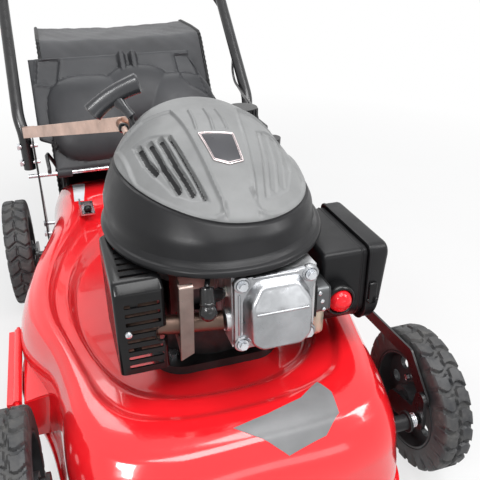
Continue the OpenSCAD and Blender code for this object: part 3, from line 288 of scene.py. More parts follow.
RED = paint("red_paint", (0.80, 0.012, 0.018), 0.16)
BLACK_PAINT = paint("black_paint", (0.008, 0.008, 0.009), 0.3, 0.15, 0.015)
BLACK_GLOSS = moulded("black_gloss", (0.005, 0.005, 0.0055), 0.2, 500, 0.08, 0.26)
BLACK_SATIN = moulded("black_satin", (0.009, 0.009, 0.010), 0.38, 1100, 0.25, 0.22)
SHROUD_BLACK = moulded("shroud_black", (0.011, 0.011, 0.012), 0.34, 1400, 0.18, 0.2)
COVER_GREY = moulded("cover_grey", (0.185, 0.188, 0.188), 0.42, 1600, 0.22)
LID_PLASTIC = moulded("lid_plastic", (0.034, 0.035, 0.038), 0.44, 800, 0.5, 0.22)
CAST = metal("cast_aluminium", (0.60, 0.61, 0.62), 0.42, 240, 0.4)
VALVE = metal("valve_cover_alloy", (0.42, 0.43, 0.445), 0.32, 500, 0.10)
ZINC = metal("zinc", (0.72, 0.74, 0.77), 0.25, 200, 0.15)
STEEL = metal("machined_steel", (0.50, 0.51, 0.53), 0.3, 300, 0.2, (1, 1, 12))
DARK_STEEL = metal("dark_steel", (0.14, 0.145, 0.15), 0.42, 160, 0.35)
EXHAUST = metal("exhaust_steel", (0.15, 0.10, 0.08), 0.42, 120, 0.5)
HEAT = metal("heat_plate_steel", (0.25, 0.19, 0.17), 0.34, 60, 0.15, (1, 6, 1))
STAY = metal("stay_steel", (0.66, 0.47, 0.39), 0.34, 30, 0.03)
# near black: partly the case's own black paint, partly painted shade for the dark band under the
# engine
BLACK_CASE_AND_SHADE = metal("engine_case_and_painted_shade", (0.06, 0.06, 0.062), 0.46, 200, 0.45)
BRASS = metal("carburettor_alloy", (0.66, 0.62, 0.50), 0.42, 260, 0.3)
RUBBER = moulded("black_rubber", (0.005, 0.005, 0.0055), 0.22, 600, 0.08, 0.5)
BULB = moulded("primer_rubber", (0.80, 0.012, 0.02), 0.14, 300, 0.03)
TYRE = tyre_rubber()
RIM = moulded("rim_plastic", (0.024, 0.025, 0.027), 0.45, 700, 0.3)
FABRIC = weave("catcher_fabric", (0.055, 0.056, 0.06), 170)
ROPE = weave("rope_weave", (0.03, 0.03, 0.032), 240, 0.8)
FOAM = moulded("filter_foam", (0.55, 0.44, 0.24), 0.95, 260, 1.0)
CERAMIC = moulded("ceramic", (0.78, 0.76, 0.70), 0.12, 300, 0.03)
BADGE_DARK = moulded("badge_dark", (0.045, 0.045, 0.05), 0.3, 900, 0.1)
GRIP_PLASTIC = moulded("grip_plastic", (0.012, 0.013, 0.016), 0.26, 300, 0.05, 0.7)
BADGE_RIM = metal("badge_rim", (0.78, 0.68, 0.68), 0.3, 300, 0.1)
DECAL_GREY = moulded("decal_grey", (0.17, 0.172, 0.175), 0.4, 900, 0.1)
LABEL = moulded("label_white", (0.72, 0.75, 0.78), 0.35, 400, 0.05)

CAD_MATERIAL = {name: material for material, names in (
    (BLACK_CASE_AND_SHADE, "crankcase"), (CAST, "engine_barrel flywheel blade_adapter"), (CERAMIC, "spark_plug"),
    (ZINC, "flange_bolts blade_bolt cable_bracket flap_rod height_sector axle_spring"),
    (BLACK_SATIN, "ignition_coil air_filter_base air_filter_cover fuel_tank starter_housing "
                  "starter_pulley axle_bushes"),
    (BLACK_GLOSS, "muffler_guard fuel_cap oil_dipstick fold_knob_left fold_knob_right "
                  "starter_grip"),
    (BLACK_PAINT, "handle_brackets height_lever rear_axle front_axle side_link catcher_frame "
                  "lower_handle_left lower_handle_right upper_handle bail_bar"),
    (EXHAUST, "muffler"), (HEAT, "heat_plate"), (BRASS, "carburettor"), (FOAM, "filter_element"),
    (BULB, "primer_bulb"), (STEEL, "crankshaft"), (DARK_STEEL, "blade"), (STAY, "handle_stay"),
    (RED, "side_flap deck_shell"), (VALVE, "valve_cover"), (SHROUD_BLACK, "engine_shroud"),
    (COVER_GREY, "top_cover"), (RUBBER, "spark_boot brake_cable"), (ROPE, "starter_rope"),
    (LID_PLASTIC, "rear_flap"), (FABRIC, "catcher_bag"),
    (RIM, "front_left_rim front_right_rim rear_left_rim rear_right_rim"),
    (TYRE, "front_left_tyre front_right_tyre rear_left_tyre rear_right_tyre"),
) for name in names.split()}
# width of the rounded edges on the CAD nodes, where it isn't EDGE_USUAL
EDGE_USUAL = 0.7
EDGE = {"flange_bolts": 0.5, "axle_spring": 0, "blade": 0.6, "heat_plate": 0.4, "primer_bulb": 0,
        "muffler_guard": 0.9, "height_sector": 0.5, "handle_stay": 0.6, "fuel_cap": 0.8,
        "air_filter_base": 2.2, "air_filter_cover": 2.6, "fuel_tank": 2.0, "muffler": 1.2,
        "side_link": 0.8, "cable_bracket": 0.5, "crankcase": 1.2, "engine_barrel": 0.6}


def soften(ob, width, angle=38):
    """Rounded edges on a CAD node, as modifiers, so that its own mesh stays as it is."""
    weld = ob.modifiers.new("weld", "WELD")
    weld.merge_threshold = 0.00001
    if width > 0:
        bevel = ob.modifiers.new("bevel", "BEVEL")
        bevel.width = width / 1000
        bevel.segments = 2
        bevel.limit_method = "ANGLE"
        bevel.angle_limit = math.radians(angle)
        bevel.use_clamp_overlap = True
    smooth = ob.modifiers.new("normals", "WEIGHTED_NORMAL")
    smooth.keep_sharp = True
    ob.data.polygons.foreach_set("use_smooth", [True] * len(ob.data.polygons))


for name, ob in NODES.items():
    ob.data.materials.clear()
    ob.data.materials.append(CAD_MATERIAL[name])
    soften(ob, EDGE.get(name, EDGE_USUAL))


# ---------------------------------------------------------------- mesh helpers


def grid_faces(rows, cols, wrap_rows=False, wrap_cols=False, start=0):
    faces = []
    for i in range(rows if wrap_rows else rows - 1):
        for j in range(cols if wrap_cols else cols - 1):
            a = start + i * cols + j
            b = start + ((i + 1) % rows) * cols + j
            c = start + ((i + 1) % rows) * cols + (j + 1) % cols
            d = start + i * cols + (j + 1) % cols
            faces.append((a, b, c, d))
    return faces


def piece(name, verts, faces, body, material, angle=35, replaces=(), closed=True, slot=None):
    me = bpy.data.meshes.new(name)
    me.from_pydata([at(v) for v in verts], [], faces)
    ob = bpy.data.objects.new(name, me)
    scene.collection.objects.link(ob)
    if closed:
        bm = bmesh.new()
        bm.from_mesh(me)
        bmesh.ops.recalc_face_normals(bm, faces=bm.faces)
        bm.to_mesh(me)
        bm.free()
    me.materials.append(material)
    shade(ob, angle)
    return settle(ob, body, slot, *replaces)


def settle(ob, body, slot, *nodes):
    """Puts a piece on its body, in the place of CAD nodes."""
    if body:
        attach(ob, body)
    if nodes:
        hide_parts(*nodes)
    return ob


def shade(ob, angle=35):
    ob.data.polygons.foreach_set("use_smooth", [True] * len(ob.data.polygons))
    ob.data.set_sharp_from_angle(angle=math.radians(angle))


def cut(ob, cutters, angle=35):
    """Cuts closed shapes out of a closed mesh, and applies the cuts."""
    for c in cutters:
        m = ob.modifiers.new("cut", "BOOLEAN")
        m.operation = "DIFFERENCE"
        m.solver = "EXACT"
        m.object = c
    bpy.context.view_layer.update()
    made = bpy.data.meshes.new_from_object(
        ob.evaluated_get(bpy.context.evaluated_depsgraph_get()))
    ob.modifiers.clear()
    ob.data = made
    for c in cutters:
        bpy.data.objects.remove(c)
    shade(ob, angle)


def arc(a, p, b, steps):
    """The curve from a to b that rounds off the corner p."""
    return [(1 - t) ** 2 * a + 2 * t * (1 - t) * p + t * t * b
            for t in (k / steps for k in range(steps + 1))]


def corners(points, r, steps=5, most=0.45):
    """A closed polygon with its corners rounded, by at most that share of a side."""
    out = []
    n = len(points)
    for i in range(n):
        a, b, d = (np.array(points[(i + k) % n], float) for k in (-1, 0, 1))
        before, after = np.linalg.norm(a - b), np.linalg.norm(d - b)
        s = min(r, before * most, after * most)
        out += arc(b + s * (a - b) / before, b, b + s * (d - b) / after, steps)
    return out


def inset(points, by):
    """A closed outline (counter-clockwise) moved inwards."""
    p = np.array(points, float)
    d = np.roll(p, -1, 0) - np.roll(p, 1, 0)
    d /= np.linalg.norm(d, axis=1, keepdims=True)
    return p + by * np.stack((-d[:, 1], d[:, 0]), 1)


def stack(name, rows, body, material, angle=30, hollow=False, **kw):
    """A closed solid through rings of equal length, capped at both ends unless it is hollow."""
    n = len(rows[0])
    verts = [tuple(p) for r in rows for p in r]
    faces = grid_faces(len(rows), n, hollow, True)
    if not hollow:
        faces += [tuple(range(n)), tuple(range(len(verts) - 1, len(verts) - n - 1, -1))]
    return piece(name, verts, faces, body, material, angle, **kw)


BOX_FACES = [(0, 1, 3, 2), (4, 6, 7, 5), (0, 4, 5, 1), (2, 3, 7, 6), (0, 2, 6, 4), (1, 5, 7, 3)]


def block(low, high):
    x, y, z = zip(low, high)
    return piece("cutter", [(a, b, c) for a in x for b in y for c in z], BOX_FACES, None, RED)


def smooth_line(points, steps, closed=False):
    """Catmull-Rom line through the points."""
    p = [np.array(q, float) for q in points]
    n = len(p)
    out = []
    for i in range(n if closed else n - 1):
        a = p[(i - 1) % n] if closed else p[max(i - 1, 0)]
        b, c = p[i], p[(i + 1) % n]
        d = p[(i + 2) % n] if closed else p[min(i + 2, n - 1)]
        for k in range(steps):
            t = k / steps
            out.append(0.5 * (2 * b + (c - a) * t + (2 * a - 5 * b + 4 * c - d) * t * t
                              + (3 * b - a - 3 * c + d) * t ** 3))
    if not closed:
        out.append(p[-1])
    return out


def rounded_line(points, r, steps=10):
    """Straight runs with rounded corners."""
    p = [np.array(q, float) for q in points]
    out = [p[0]]
    for i in range(1, len(p) - 1):
        a = p[i] + r * (p[i - 1] - p[i]) / np.linalg.norm(p[i - 1] - p[i])
        b = p[i] + r * (p[i + 1] - p[i]) / np.linalg.norm(p[i + 1] - p[i])
        out += arc(a, p[i], b, steps)
    return out + [p[-1]]


def across(path, i, ref, closed=False):
    """Two unit vectors square to a path at its point i."""
    n = len(path)
    d = path[(i + 1) % n] - path[i - 1] if closed else path[min(i + 1, n - 1)] - path[max(i - 1, 0)]
    d = d / np.linalg.norm(d)
    a = np.cross(d, ref)
    a /= np.linalg.norm(a)
    return a, np.cross(d, a)


def sweep(name, path, section, body, material, ref=(1, 0, 0), scale=None, **kw):
    """A section (list of 2D points) carried along a path."""
    path = [np.array(p, float) for p in path]
    rows = []
    for i, p in enumerate(path):
        a, b = across(path, i, ref)
        s = scale(i / (len(path) - 1)) if scale else 1.0
        rows.append([p + s * (q[0] * a + q[1] * b) for q in section])
    return stack(name, rows, body, material, 35, **kw)


def ring(r, sides=24):
    return [(r * math.cos(t), r * math.sin(t)) for t in np.arange(sides) * 2 * math.pi / sides]


# the radius that stands for none, so that a tip stays a ring
TIP = 0.01


def lathe(name, profile, place, axis, body, material, sides=48, bored=False, **kw):
    """A profile of (radius, height) points turned about an axis. A bored one joins its ends."""
    axis = Vector(axis).normalized()
    side = axis.orthogonal().normalized()
    other = axis.cross(side)
    rows = [[Vector(place) + axis * h + (side * x + other * y)
             for x, y in ring(max(r, TIP), sides)] for r, h in profile]
    return stack(name, rows, body, material, 35, bored, **kw)


def rooted(c, power):
    """A power of a sine or cosine that keeps its sign: below 1 it squares up a round outline."""
    return math.copysign(abs(c) ** power, c)


def step(t):
    """A smooth step from 0 to 1."""
    t = np.clip(t, 0, 1)
    return t * t * (3 - 2 * t)


def segment_distance(px, py, a, b):
    d = b - a
    t = np.clip(((px - a[0]) * d[0] + (py - a[1]) * d[1]) / (d @ d), 0, 1)
    return np.hypot(px - a[0] - t * d[0], py - a[1] - t * d[1])


def line_distance(px, py, points):
    """Distance to an open line of segments."""
    q = np.array(points, float)
    return np.minimum.reduce([segment_distance(px, py, a, b) for a, b in zip(q[:-1], q[1:])])


def polygon_distance(px, py, points):
    """Distance to a closed polygon, negative inside."""
    q = np.array(points, float)
    q = np.vstack((q, q[:1]))
    best = line_distance(px, py, q)
    inside = np.zeros(px.shape, bool)
    for a, b in zip(q[:-1], q[1:]):
        crossing = (a[1] > py) != (b[1] > py)
        crossing_x = a[0] + (py - a[1]) / (b[1] - a[1] + 1e-12) * (b[0] - a[0])
        inside ^= crossing & (px < crossing_x)
    return np.where(inside, -best, best)


def surface_of(ob):
    """A tree of the mesh as it is now, for rays."""
    me = ob.data
    return BVHTree.FromPolygons([v.co.copy() for v in me.vertices],
                                [tuple(p.vertices) for p in me.polygons])


def laid_on(surface, x, y, lift):
    """The point of a surface below (x, y), lifted off it."""
    hit, normal = surface.ray_cast(at((x, y, RAYS_FROM)), Vector((0, 0, -1)))[:2]
    return np.array((hit - ORIGIN) * 1000 + normal * (lift if normal.z > 0 else -lift))


def sheet_faces(rows, cols):
    """Faces of a closed sheet: a front grid, a back grid and the rim between them."""
    n = rows * cols
    faces = grid_faces(rows, cols) + [f[::-1] for f in grid_faces(rows, cols, start=n)]
    edge = list(range(cols)) + [i * cols + cols - 1 for i in range(1, rows)]
    edge += [(rows - 1) * cols + j for j in range(cols - 2, -1, -1)]
    edge += [i * cols for i in range(rows - 2, 0, -1)]
    m = len(edge)
    return faces + [(edge[k], edge[(k + 1) % m], n + edge[(k + 1) % m], n + edge[k])
                    for k in range(m)]


def patch(name, surface, left, right, rows, cols, lift, thick, body, material, **kw):
    """A thin plate or film that lies on a surface, between two edge lines given from above."""

    def along(line, t):
        line = np.array(line, float)
        u = t * (len(line) - 1)
        i = min(int(u), len(line) - 2)
        return line[i] + (line[i + 1] - line[i]) * (u - i)

    spots = []
    for i in range(rows):
        a, b = along(left, i / (rows - 1)), along(right, i / (rows - 1))
        spots += [a + (b - a) * j / (cols - 1) for j in range(cols)]
    verts = [tuple(laid_on(surface, x, y, h)) for h in (lift, lift - thick) for x, y in spots]
    return piece(name, verts, sheet_faces(rows, cols), body, material, **kw)


def rod(name, a, b, r, body, material, sides=24, edge=0.0, **kw):
    """A round bar from a to b, with its ends rounded off by edge."""
    a, b = Vector(a), Vector(b)
    length = (b - a).length
    if edge:
        profile = [(r - edge, 0), (r - edge * 0.3, edge * 0.3), (r, edge),
                   (r, length - edge), (r - edge * 0.3, length - edge * 0.3), (r - edge, length)]
    else:
        profile = [(r, 0), (r, length)]
    return lathe(name, profile, a, b - a, body, material, sides, **kw)


def tube(name, a, b, r, bore, body, material, **kw):
    """A bored sleeve from a to b."""
    a, b = Vector(a), Vector(b)
    length = (b - a).length
    profile = [(bore, 0), (r - 0.8, 0), (r, 0.8), (r, length - 0.8), (r - 0.8, length),
               (bore, length)]
    return lathe(name, profile, a, b - a, body, material, 32, True, **kw)


def loop(name, points, r, body, material, sides=10, ref=(0, 0, 1), swell=lambda i: 1, **kw):
    """A round bead along a closed line."""
    verts = []
    for i, p in enumerate(points):
        a, b = across(points, i, ref, True)
        verts += [tuple(p + swell(i) * (x * a + y * b)) for x, y in ring(r, sides)]
    return piece(name, verts, grid_faces(len(points), sides, True, True), body, material, **kw)


def screw(name, place, axis, r, body):
    """Pan head screw with a cross recess."""
    axis = Vector(axis).normalized()
    head = lathe(name, [(r, 0), (r, r * 0.35), (r * 0.85, r * 0.62), (r * 0.5, r * 0.78),
                        (0, r * 0.8)], place, axis, None, ZINC, 24)
    side = axis.orthogonal().normalized()
    other = axis.cross(side)
    slots = []
    for a, b in ((side, other), (other, side)):
        c = Vector(place) + axis * r * 0.75
        half = [a * r * 0.6, b * r * 0.13, axis * r * 0.3]
        pts = [c + half[0] * i + half[1] * j + half[2] * k for i in (-1, 1) for j in (-1, 1)
               for k in (-1, 1)]
        slots.append(piece("cutter", pts, BOX_FACES, None, ZINC))
    cut(head, slots, 35)
    return settle(head, body, "zinc_plate")


def hollow_bar(name, path, r, wall, body, material, ref=(1, 0, 0), sides=28, **kw):
    """A bent tube with open ends."""
    path = [np.array(p, float) for p in path]
    frames = [(p, *across(path, i, ref)) for i, p in enumerate(path)]
    rows = [[p + x * a + y * b for x, y in ring(radius, sides)]
            for radius, run in ((r, frames), (r - wall, frames[::-1])) for p, a, b in run]
    return stack(name, rows, body, material, 40, True, **kw)


# ---------------------------------------------------------------- deck

SKIRT_Z, SHEET, LIP = 50, 2.5, 5
FRONT, REAR, RIGHT, LEFT = 264, 560, 240, 268
PAN_Z, CREST_FRONT, CREST_REAR = 178, 192, 216
SHOULDER_Z, SKIRT_LEAN = 118, 8
PAN_MID, PAN_HALF, PAN_N, PAN_HOLE = np.array((-7.0, 96.0)), np.array((158, 212)), 2.4, 48
SHAFTS = ((-189, 114), (427, 119))
SHAFT_HOLE, BOLT_HOLE = 10, 4
SIDE_PORT = ((-290, -6, 64), (-200, 150, 118))
ENGINE_BOLTS = ((-60, -56), (60, -56), (0, 97))
BRACKET_BOLTS = ((452, 150), (500, 150))


def deck_plan():
    e = -FRONT
    right = [(110, 2), (RIGHT - 62, 28), (RIGHT - 35, 92), (RIGHT - 20, 170), (RIGHT - 3, 270),
             (RIGHT, 390), (RIGHT - 8, 520), (RIGHT - 26, 640), (RIGHT - 42, 740),
             (RIGHT - 48, 850), (RIGHT - 80, 930)]
    left = [(100 - LEFT, 930), (74 - LEFT, 850), (66 - LEFT, 740), (44 - LEFT, 630),
            (12 - LEFT, 500), (-LEFT, 370), (35 - LEFT, 250), (47 - LEFT, 175),
            (56 - LEFT, 90), (88 - LEFT, 28), (-110, 2)]
    points = [(0, 0)] + right + [(0, 940)] + left
    return [(x, y + e) for x, y in points]


def deck_column(o):
    """One section through the deck, from the skirt's edge over the crest to the engine hole."""
    turn = math.atan2((o[1] - PAN_MID[1]) / PAN_HALF[1], (o[0] - PAN_MID[0]) / PAN_HALF[0])
    c, s = math.cos(turn), math.sin(turn)
    rim = PAN_MID + PAN_HALF * np.array((rooted(c, 2 / PAN_N), rooted(s, 2 / PAN_N)))
    hole = PAN_HOLE * np.array((c, s))
    d = np.linalg.norm(rim - o)
    e = (rim - o) / d
    share = min(max(((o[1] + rim[1]) / 2 + 190) / 600, 0), 1)
    top = CREST_FRONT + (CREST_REAR - CREST_FRONT) * share
    rear = float(step((o[1] - 380) / 120))
    line = [(x, SKIRT_Z + up) for x, up in (
        (-LIP + 1.2, 0), (-LIP, 1.2), (-LIP, 5), (-LIP + 1, 7.5), (0, 9.2), (2, 12), (2.6, 24),
        (3.6, 40))]
    for k in range(22):
        f = math.pi / 2 * k / 21
        x = SKIRT_LEAN + (d / 2 - SKIRT_LEAN) * (1 - math.cos(f))
        z = SHOULDER_Z + (top - SHOULDER_Z) * math.sin(f)
        # pressed bead along the shoulder
        z += 2.2 * (1 - rear) * math.exp(-((f - 1.02) / 0.07) ** 2)
        line.append((x, z))
    drop = top - PAN_Z
    for k in range(1, 23):
        t = k / 22
        fall = 0.42 * float(step((t - 0.10) / 0.22)) + 0.58 * float(step((t - 0.62) / 0.26))
        line.append((d / 2 + d / 2 * t, top - drop * fall))
    inner = [(1 + SHEET, SKIRT_Z), (1 + SHEET, SKIRT_Z + 10)]
    for k in range(5, len(line)):
        a, b = np.array(line[k - 1]), np.array(line[min(k + 1, len(line) - 1)])
        t = (b - a) / np.linalg.norm(b - a)
        inner.append((line[k][0] + SHEET * t[1], line[k][1] - SHEET * t[0]))
    out = [(o[0] + e[0] * p, o[1] + e[1] * p, z) for p, z in line]
    out += [(hole[0], hole[1], PAN_Z), (hole[0], hole[1], PAN_Z - SHEET)]
    out += [(o[0] + e[0] * p, o[1] + e[1] * p, z) for p, z in reversed(inner)]
    return out


def make_deck():
    columns = [deck_column(o) for o in smooth_line(deck_plan(), 10, True)]
    verts = [v for c in columns for v in c]
    faces = grid_faces(len(columns), len(columns[0]), True, True)
    deck = piece("deck", verts, faces, None, RED, 30)
    cutters = [block((-400, REAR, -5), (400, REAR + 400, 400)), block(*SIDE_PORT)]
    bores = [((-320, y, z), (320, y, z), SHAFT_HOLE, 24) for y, z in SHAFTS]
    bores += [((-320, y, z), (320, y, z), BOLT_HOLE, 16) for y, z in BRACKET_BOLTS]
    bores += [((x, y, 100), (x, y, 400), BOLT_HOLE, 16) for x, y in ENGINE_BOLTS]
    cutters += [rod("cutter", a, b, r, None, RED, sides) for a, b, r, sides in bores]
    cut(deck, cutters, 30)
    return settle(deck, "frame", "deck_paint", "deck_shell")


# ---------------------------------------------------------------- shroud and cover

SHROUD_X, SHROUD_HALF, SHROUD_FRONT, SHROUD_REAR = 9, 136, 162, 150
SHROUD_Z, COVER_TOP, SEAM_Z, SEAM_RISE = 358, 498, 400, 30
DOME_N, DOME_LEAN, WALL_SHARE = 2.1, 0.45, 0.955


def plan(turn):
    c, s = math.cos(turn), math.sin(turn)
    a = SHROUD_HALF
    b = SHROUD_FRONT if s < 0 else SHROUD_REAR
    return a * rooted(c, 2 / DOME_N), b * rooted(s, 2 / DOME_N)


def dome_share(z):
    t = max(0.0, z - SHROUD_Z) / (COVER_TOP - SHROUD_Z)
    return min(WALL_SHARE, math.sqrt(max(0.0, 1 - t ** 1.6)))


def on_dome(turn, z, share=None):
    x, y = plan(turn)
    f = dome_share(z) if share is None else share
    return (SHROUD_X + f * x, f * y + DOME_LEAN * (z - SHROUD_Z), z)


def seam(turn):
    c = -math.cos(turn)
    return SEAM_Z + SEAM_RISE * (c + math.sqrt(c * c + 0.12)) / 2.06


def make_shroud():
    turns = 240
    rows = []
    for i in range(turns):
        t = 2 * math.pi * i / turns
        lift = 7 * float(step((math.sin(t) * 0.8 - math.cos(t) * 0.9 - 0.45) / 0.7))
        z0 = SHROUD_Z
        line = [(0.992, z0 + 0.2), (1.0, z0 + 0.8), (1.004, z0 + 3), (1.0, z0 + 5.6),
                (0.992, z0 + 7.4), (0.982, z0 + 8.2 + lift * 0.2), (0.968, z0 + 8.4 + lift * 0.5),
                (0.9605, z0 + 9.4 + lift), (0.957, z0 + 12 + lift)]
        column = []
        for f, z in line:
            x, y = plan(t)
            column.append((SHROUD_X + x * f, y * f + DOME_LEAN * max(0, z - z0 - 8), z))
        top = seam(t)
        start = z0 + 14 + lift
        column += [on_dome(t, start + (top - 5 - start) * k / 8) for k in range(9)]
        column += [on_dome(t, top - 3.5), on_dome(t, top - 2.6, dome_share(top) * 0.985),
                   on_dome(t, top - 0.4, dome_share(top) * 0.983)]
        for k in range(5, -1, -1):
            z = z0 + (top - 0.4 - z0) * k / 5
            column.append(on_dome(t, z, dome_share(z) * 0.962))
        rows.append(column)
    verts = [v for r in rows for v in r]
    piece("shroud", verts, grid_faces(turns, len(rows[0]), True, True), "frame", SHROUD_BLACK, 40,
          ("engine_shroud",), slot="black_plastic")


LOUVRE_PANEL = [(-81, 18), (-60, 10), (-37, -8), (-30, -50), (-16, -103), (-34, -96), (-52, -82),
                (-68, -48)]
LOUVRES = [(3.4, [(-76, 9), (-72, -24), (-65, -46)]), (3.4, [(-63, 1), (-56, -46), (-46, -80)]),
           (3.4, [(-50, -4), (-42, -54), (-32, -89)]), (1.7, [(-39, -9), (-30, -58), (-20, -98)])]
MIRROR_X = 17
OUTER_ZONE = [(-93, 48), (-89, 0), (-86, -44), (-78, -60), (-68, -84), (-55, -105), (-34, -112),
              (-14, -117), (-6, -115), (-4, -109), (-9, -86), (-15, -43), (-20, -1), (-27, 40),
              (-60, 52)]
RIBS = [[(-5, 29), (-5, 6), (-6, -12)], [(14, 28), (15, 5), (13, -18)],
        [(28, 26), (30, 5), (30, -16)]]
BADGE = [(-6, -22), (1, -63), (17, -70), (34, -66), (34, -27)]
SPINE = [[(0, -108), (-3, -130), (-4, -150)], [(34, -96), (37, -114), (36, -150)]]
ROPE_WELL = (-66, 88)


def cover_relief(x, y):
    """Depth of the moulded detail below the plain dome, and where painted shade goes in the slot
    bottoms.
    """
    depth = np.zeros(x.shape)
    dark = np.zeros(x.shape, bool)
    for px, slots_face_camera in ((x, True), (2 * MIRROR_X - x, False)):
        zone = polygon_distance(px, y, OUTER_ZONE)
        depth += 2.0 * step((1.6 - zone) / 2.6)
        depth -= 1.5 * np.exp(-((zone - 2.8) / 1.4) ** 2)
        panel = polygon_distance(px, y, LOUVRE_PANEL)
        depth += 1.8 * step((1.2 - panel) / 2.0)
        for half, line in LOUVRES:
            d = line_distance(px, y, line)
            # the vanes hide the slots of the far side, which are shallow and get no painted shade
            depth += (5.5 if slots_face_camera else 1.6) * step((half + 1.2 - d) / 1.6)
            # painted shade: black in the bottoms of the slots on the side that faces the camera
            if slots_face_camera:
                dark |= d < half - 0.3
    for line in RIBS:
        depth -= 2.0 * step((2.6 - line_distance(x, y, line)) / 2.2)
    for line in SPINE:
        depth += 1.6 * step((2.4 - line_distance(x, y, line)) / 2.0)
    well = np.hypot((x - ROPE_WELL[0]) / 1.35, y - ROPE_WELL[1])
    depth += 7.0 * step((17 - well) / 8)
    return depth, dark


def make_cover():
    turns, levels = 480, 140
    base = np.zeros((levels, turns, 3))
    for i in range(turns):
        t = 2 * math.pi * i / turns
        low = seam(t)
        for k in range(levels):
            z = low + (COVER_TOP - 0.15 - low) * math.sin(math.pi / 2 * k / levels)
            base[k, i] = on_dome(t, z)
    # the crown is flatter than the dome below it
    base[..., 2] -= 6 * np.clip((base[..., 2] - 440) / 58, 0, 1) ** 2
    around = np.roll(base, -1, 1) - np.roll(base, 1, 1)
    upward = np.gradient(base, axis=0)
    normal = np.cross(around, upward)
    normal /= np.linalg.norm(normal, axis=2, keepdims=True) + 1e-12
    depth, dark = cover_relief(base[..., 0], base[..., 1])
    edge = np.clip(np.arange(levels) / 5.0, 0, 1)[:, None]
    depth = depth * edge
    outer = base - normal * depth[..., None]
    # the lower edge rolls in to leave a shadow gap over the shroud
    roll = np.exp(-np.arange(levels) / 1.3)[:, None, None]
    outer = outer - normal * 1.3 * roll
    inner = base - normal * (np.maximum(depth, 0)[..., None] + 2.5)
    n = levels * turns
    verts = [tuple(v) for v in outer.reshape(-1, 3)] + [tuple(v) for v in inner.reshape(-1, 3)]
    top = (SHROUD_X, DOME_LEAN * (COVER_TOP - SHROUD_Z), COVER_TOP - 6)
    verts += [top, (top[0], top[1], top[2] - 2.5)]
    faces = grid_faces(levels, turns, False, True)
    faces += [f[::-1] for f in grid_faces(levels, turns, False, True, start=n)]
    last = (levels - 1) * turns
    for i in range(turns):
        j = (i + 1) % turns
        faces += [(i, j, n + j, n + i), (last + i, last + j, 2 * n),
                  (n + last + j, n + last + i, 2 * n + 1)]
    cover = piece("cover", verts, faces, "frame", COVER_GREY, 50, ("top_cover",),
                  slot="cover_aluminium")
    # the second material, black satin, is painted shade for the slot bottoms
    cover.data.materials.append(BLACK_SATIN)
    plain = BVHTree.FromPolygons([at(v) for v in base.reshape(-1, 3)],
                                 grid_faces(levels, turns, False, True))
    # faces wholly inside the painted shade mask take the black
    flat = dark.reshape(-1)
    for p in cover.data.polygons:
        if all(v < n and flat[v] for v in p.vertices):
            p.material_index = 1
    return plain


def make_badge(plain):
    """Bare plate in a pale rim, where a maker would put a name."""
    line = []
    shape = corners(BADGE, 1.6, 3)
    for i, p in enumerate(shape):
        q = shape[(i + 1) % len(shape)]
        n = max(1, int(np.linalg.norm(q - p) / 2.5))
        line += [p + (q - p) * k / n for k in range(n)]
    centre = np.mean(line, axis=0)

    def lay(points, lift):
        return [laid_on(plain, x, y, lift) for x, y in points]

    rows = [lay(line, -1.4), lay(line, 0.9)]
    for share in (0.99, 0.8, 0.6, 0.4, 0.2, 0.04):
        rows.append(lay([centre + (p - centre) * share for p in line], 1.0))
    stack("badge_plate", rows, "frame", BADGE_DARK, 40, slot="black_plastic")
    loop("badge_rim", lay([centre + (p - centre) * 1.015 for p in line], 0.9), 0.75, "frame",
         BADGE_RIM, slot="cover_aluminium")
    inner = [centre + (p - centre) * 0.93 for p in line]
    loop("badge_line", lay(inner, 1.05), 0.35, "frame", BADGE_RIM, slot="cover_aluminium")


# ---------------------------------------------------------------- wheels

TRACK_HALF = 287
WHEELS = {"front_left": (-1, -137, 100, 44), "front_right": (1, -137, 100, 44),
          "rear_left": (-1, 479, 105, 46), "rear_right": (1, 479, 105, 46)}
LUGS, TREAD = 24, 4.6
RING_IN, RIM_BOLT_R = 33.5, 27


def make_tyre(name, side, y, r, w):
    """Tyre with zigzag tread blocks that run down both side walls."""
    around = LUGS * 20
    # across the tyre: position over the width, radius inwards, and how much tread there is
    wall = [(0.5, 30, 0), (0.0, 27, 0), (-0.2, 23, 0), (0.0, 20, 0.15), (0.0, 14, 0.6), (0.3, 9, 1),
            (0.7, 6, 1), (1.6, 3.2, 1), (3.4, 1.2, 1), (5.5, 0.5, 1)]
    middle = [(w * k / 24, 0, 1) for k in range(4, 21)]
    profile = wall + middle + [(w - a, b, c) for a, b, c in reversed(wall)]
    m = len(profile)
    half = w / 2
    verts = []
    for i in range(around):
        u = i / around * LUGS
        a = 2 * math.pi * i / around - math.pi / 2
        for x, inward, tread in profile:
            v = (x - half) / half
            if name.startswith("front"):
                phase = u + 0.20 * math.sin(2.6 * v * math.pi / 2)
            else:
                phase = u + 0.42 * abs((v * 1.5 + 2) % 2 - 1)
            phase = (phase + 0.5) % 1.0 - 0.5
            gap = float(step((0.17 - abs(phase)) / 0.06))
            centre = float(step((0.10 - abs(v - 0.04 * math.sin(2 * math.pi * u))) / 0.05))
            shoulder = float(step((0.035 - abs(abs(v) - 0.72)) / 0.03)) * (inward < 4)
            groove = max(gap, 0.8 * centre, 0.45 * shoulder)
            drop = tread * TREAD * groove
            # on the side wall the grooves go in along the axle instead
            side_share = min(1.0, inward / 6)
            rr = r - 0.6 - inward - drop * (1 - side_share)
            xx = x + (drop * 0.55 * side_share) * (1 if v < 0 else -1)
            verts.append((side * (TRACK_HALF - w + xx), y + rr * math.cos(a),
                          r + rr * math.sin(a)))
    faces = grid_faces(around, m, True, False)
    for i in range(around):
        j = (i + 1) % around
        faces.append((i * m, j * m, j * m + m - 1, i * m + m - 1))
    piece(name + "_tread", verts, faces, name + "_wheel", TYRE, 32, (name + "_tyre",),
          slot="tyre_rubber")


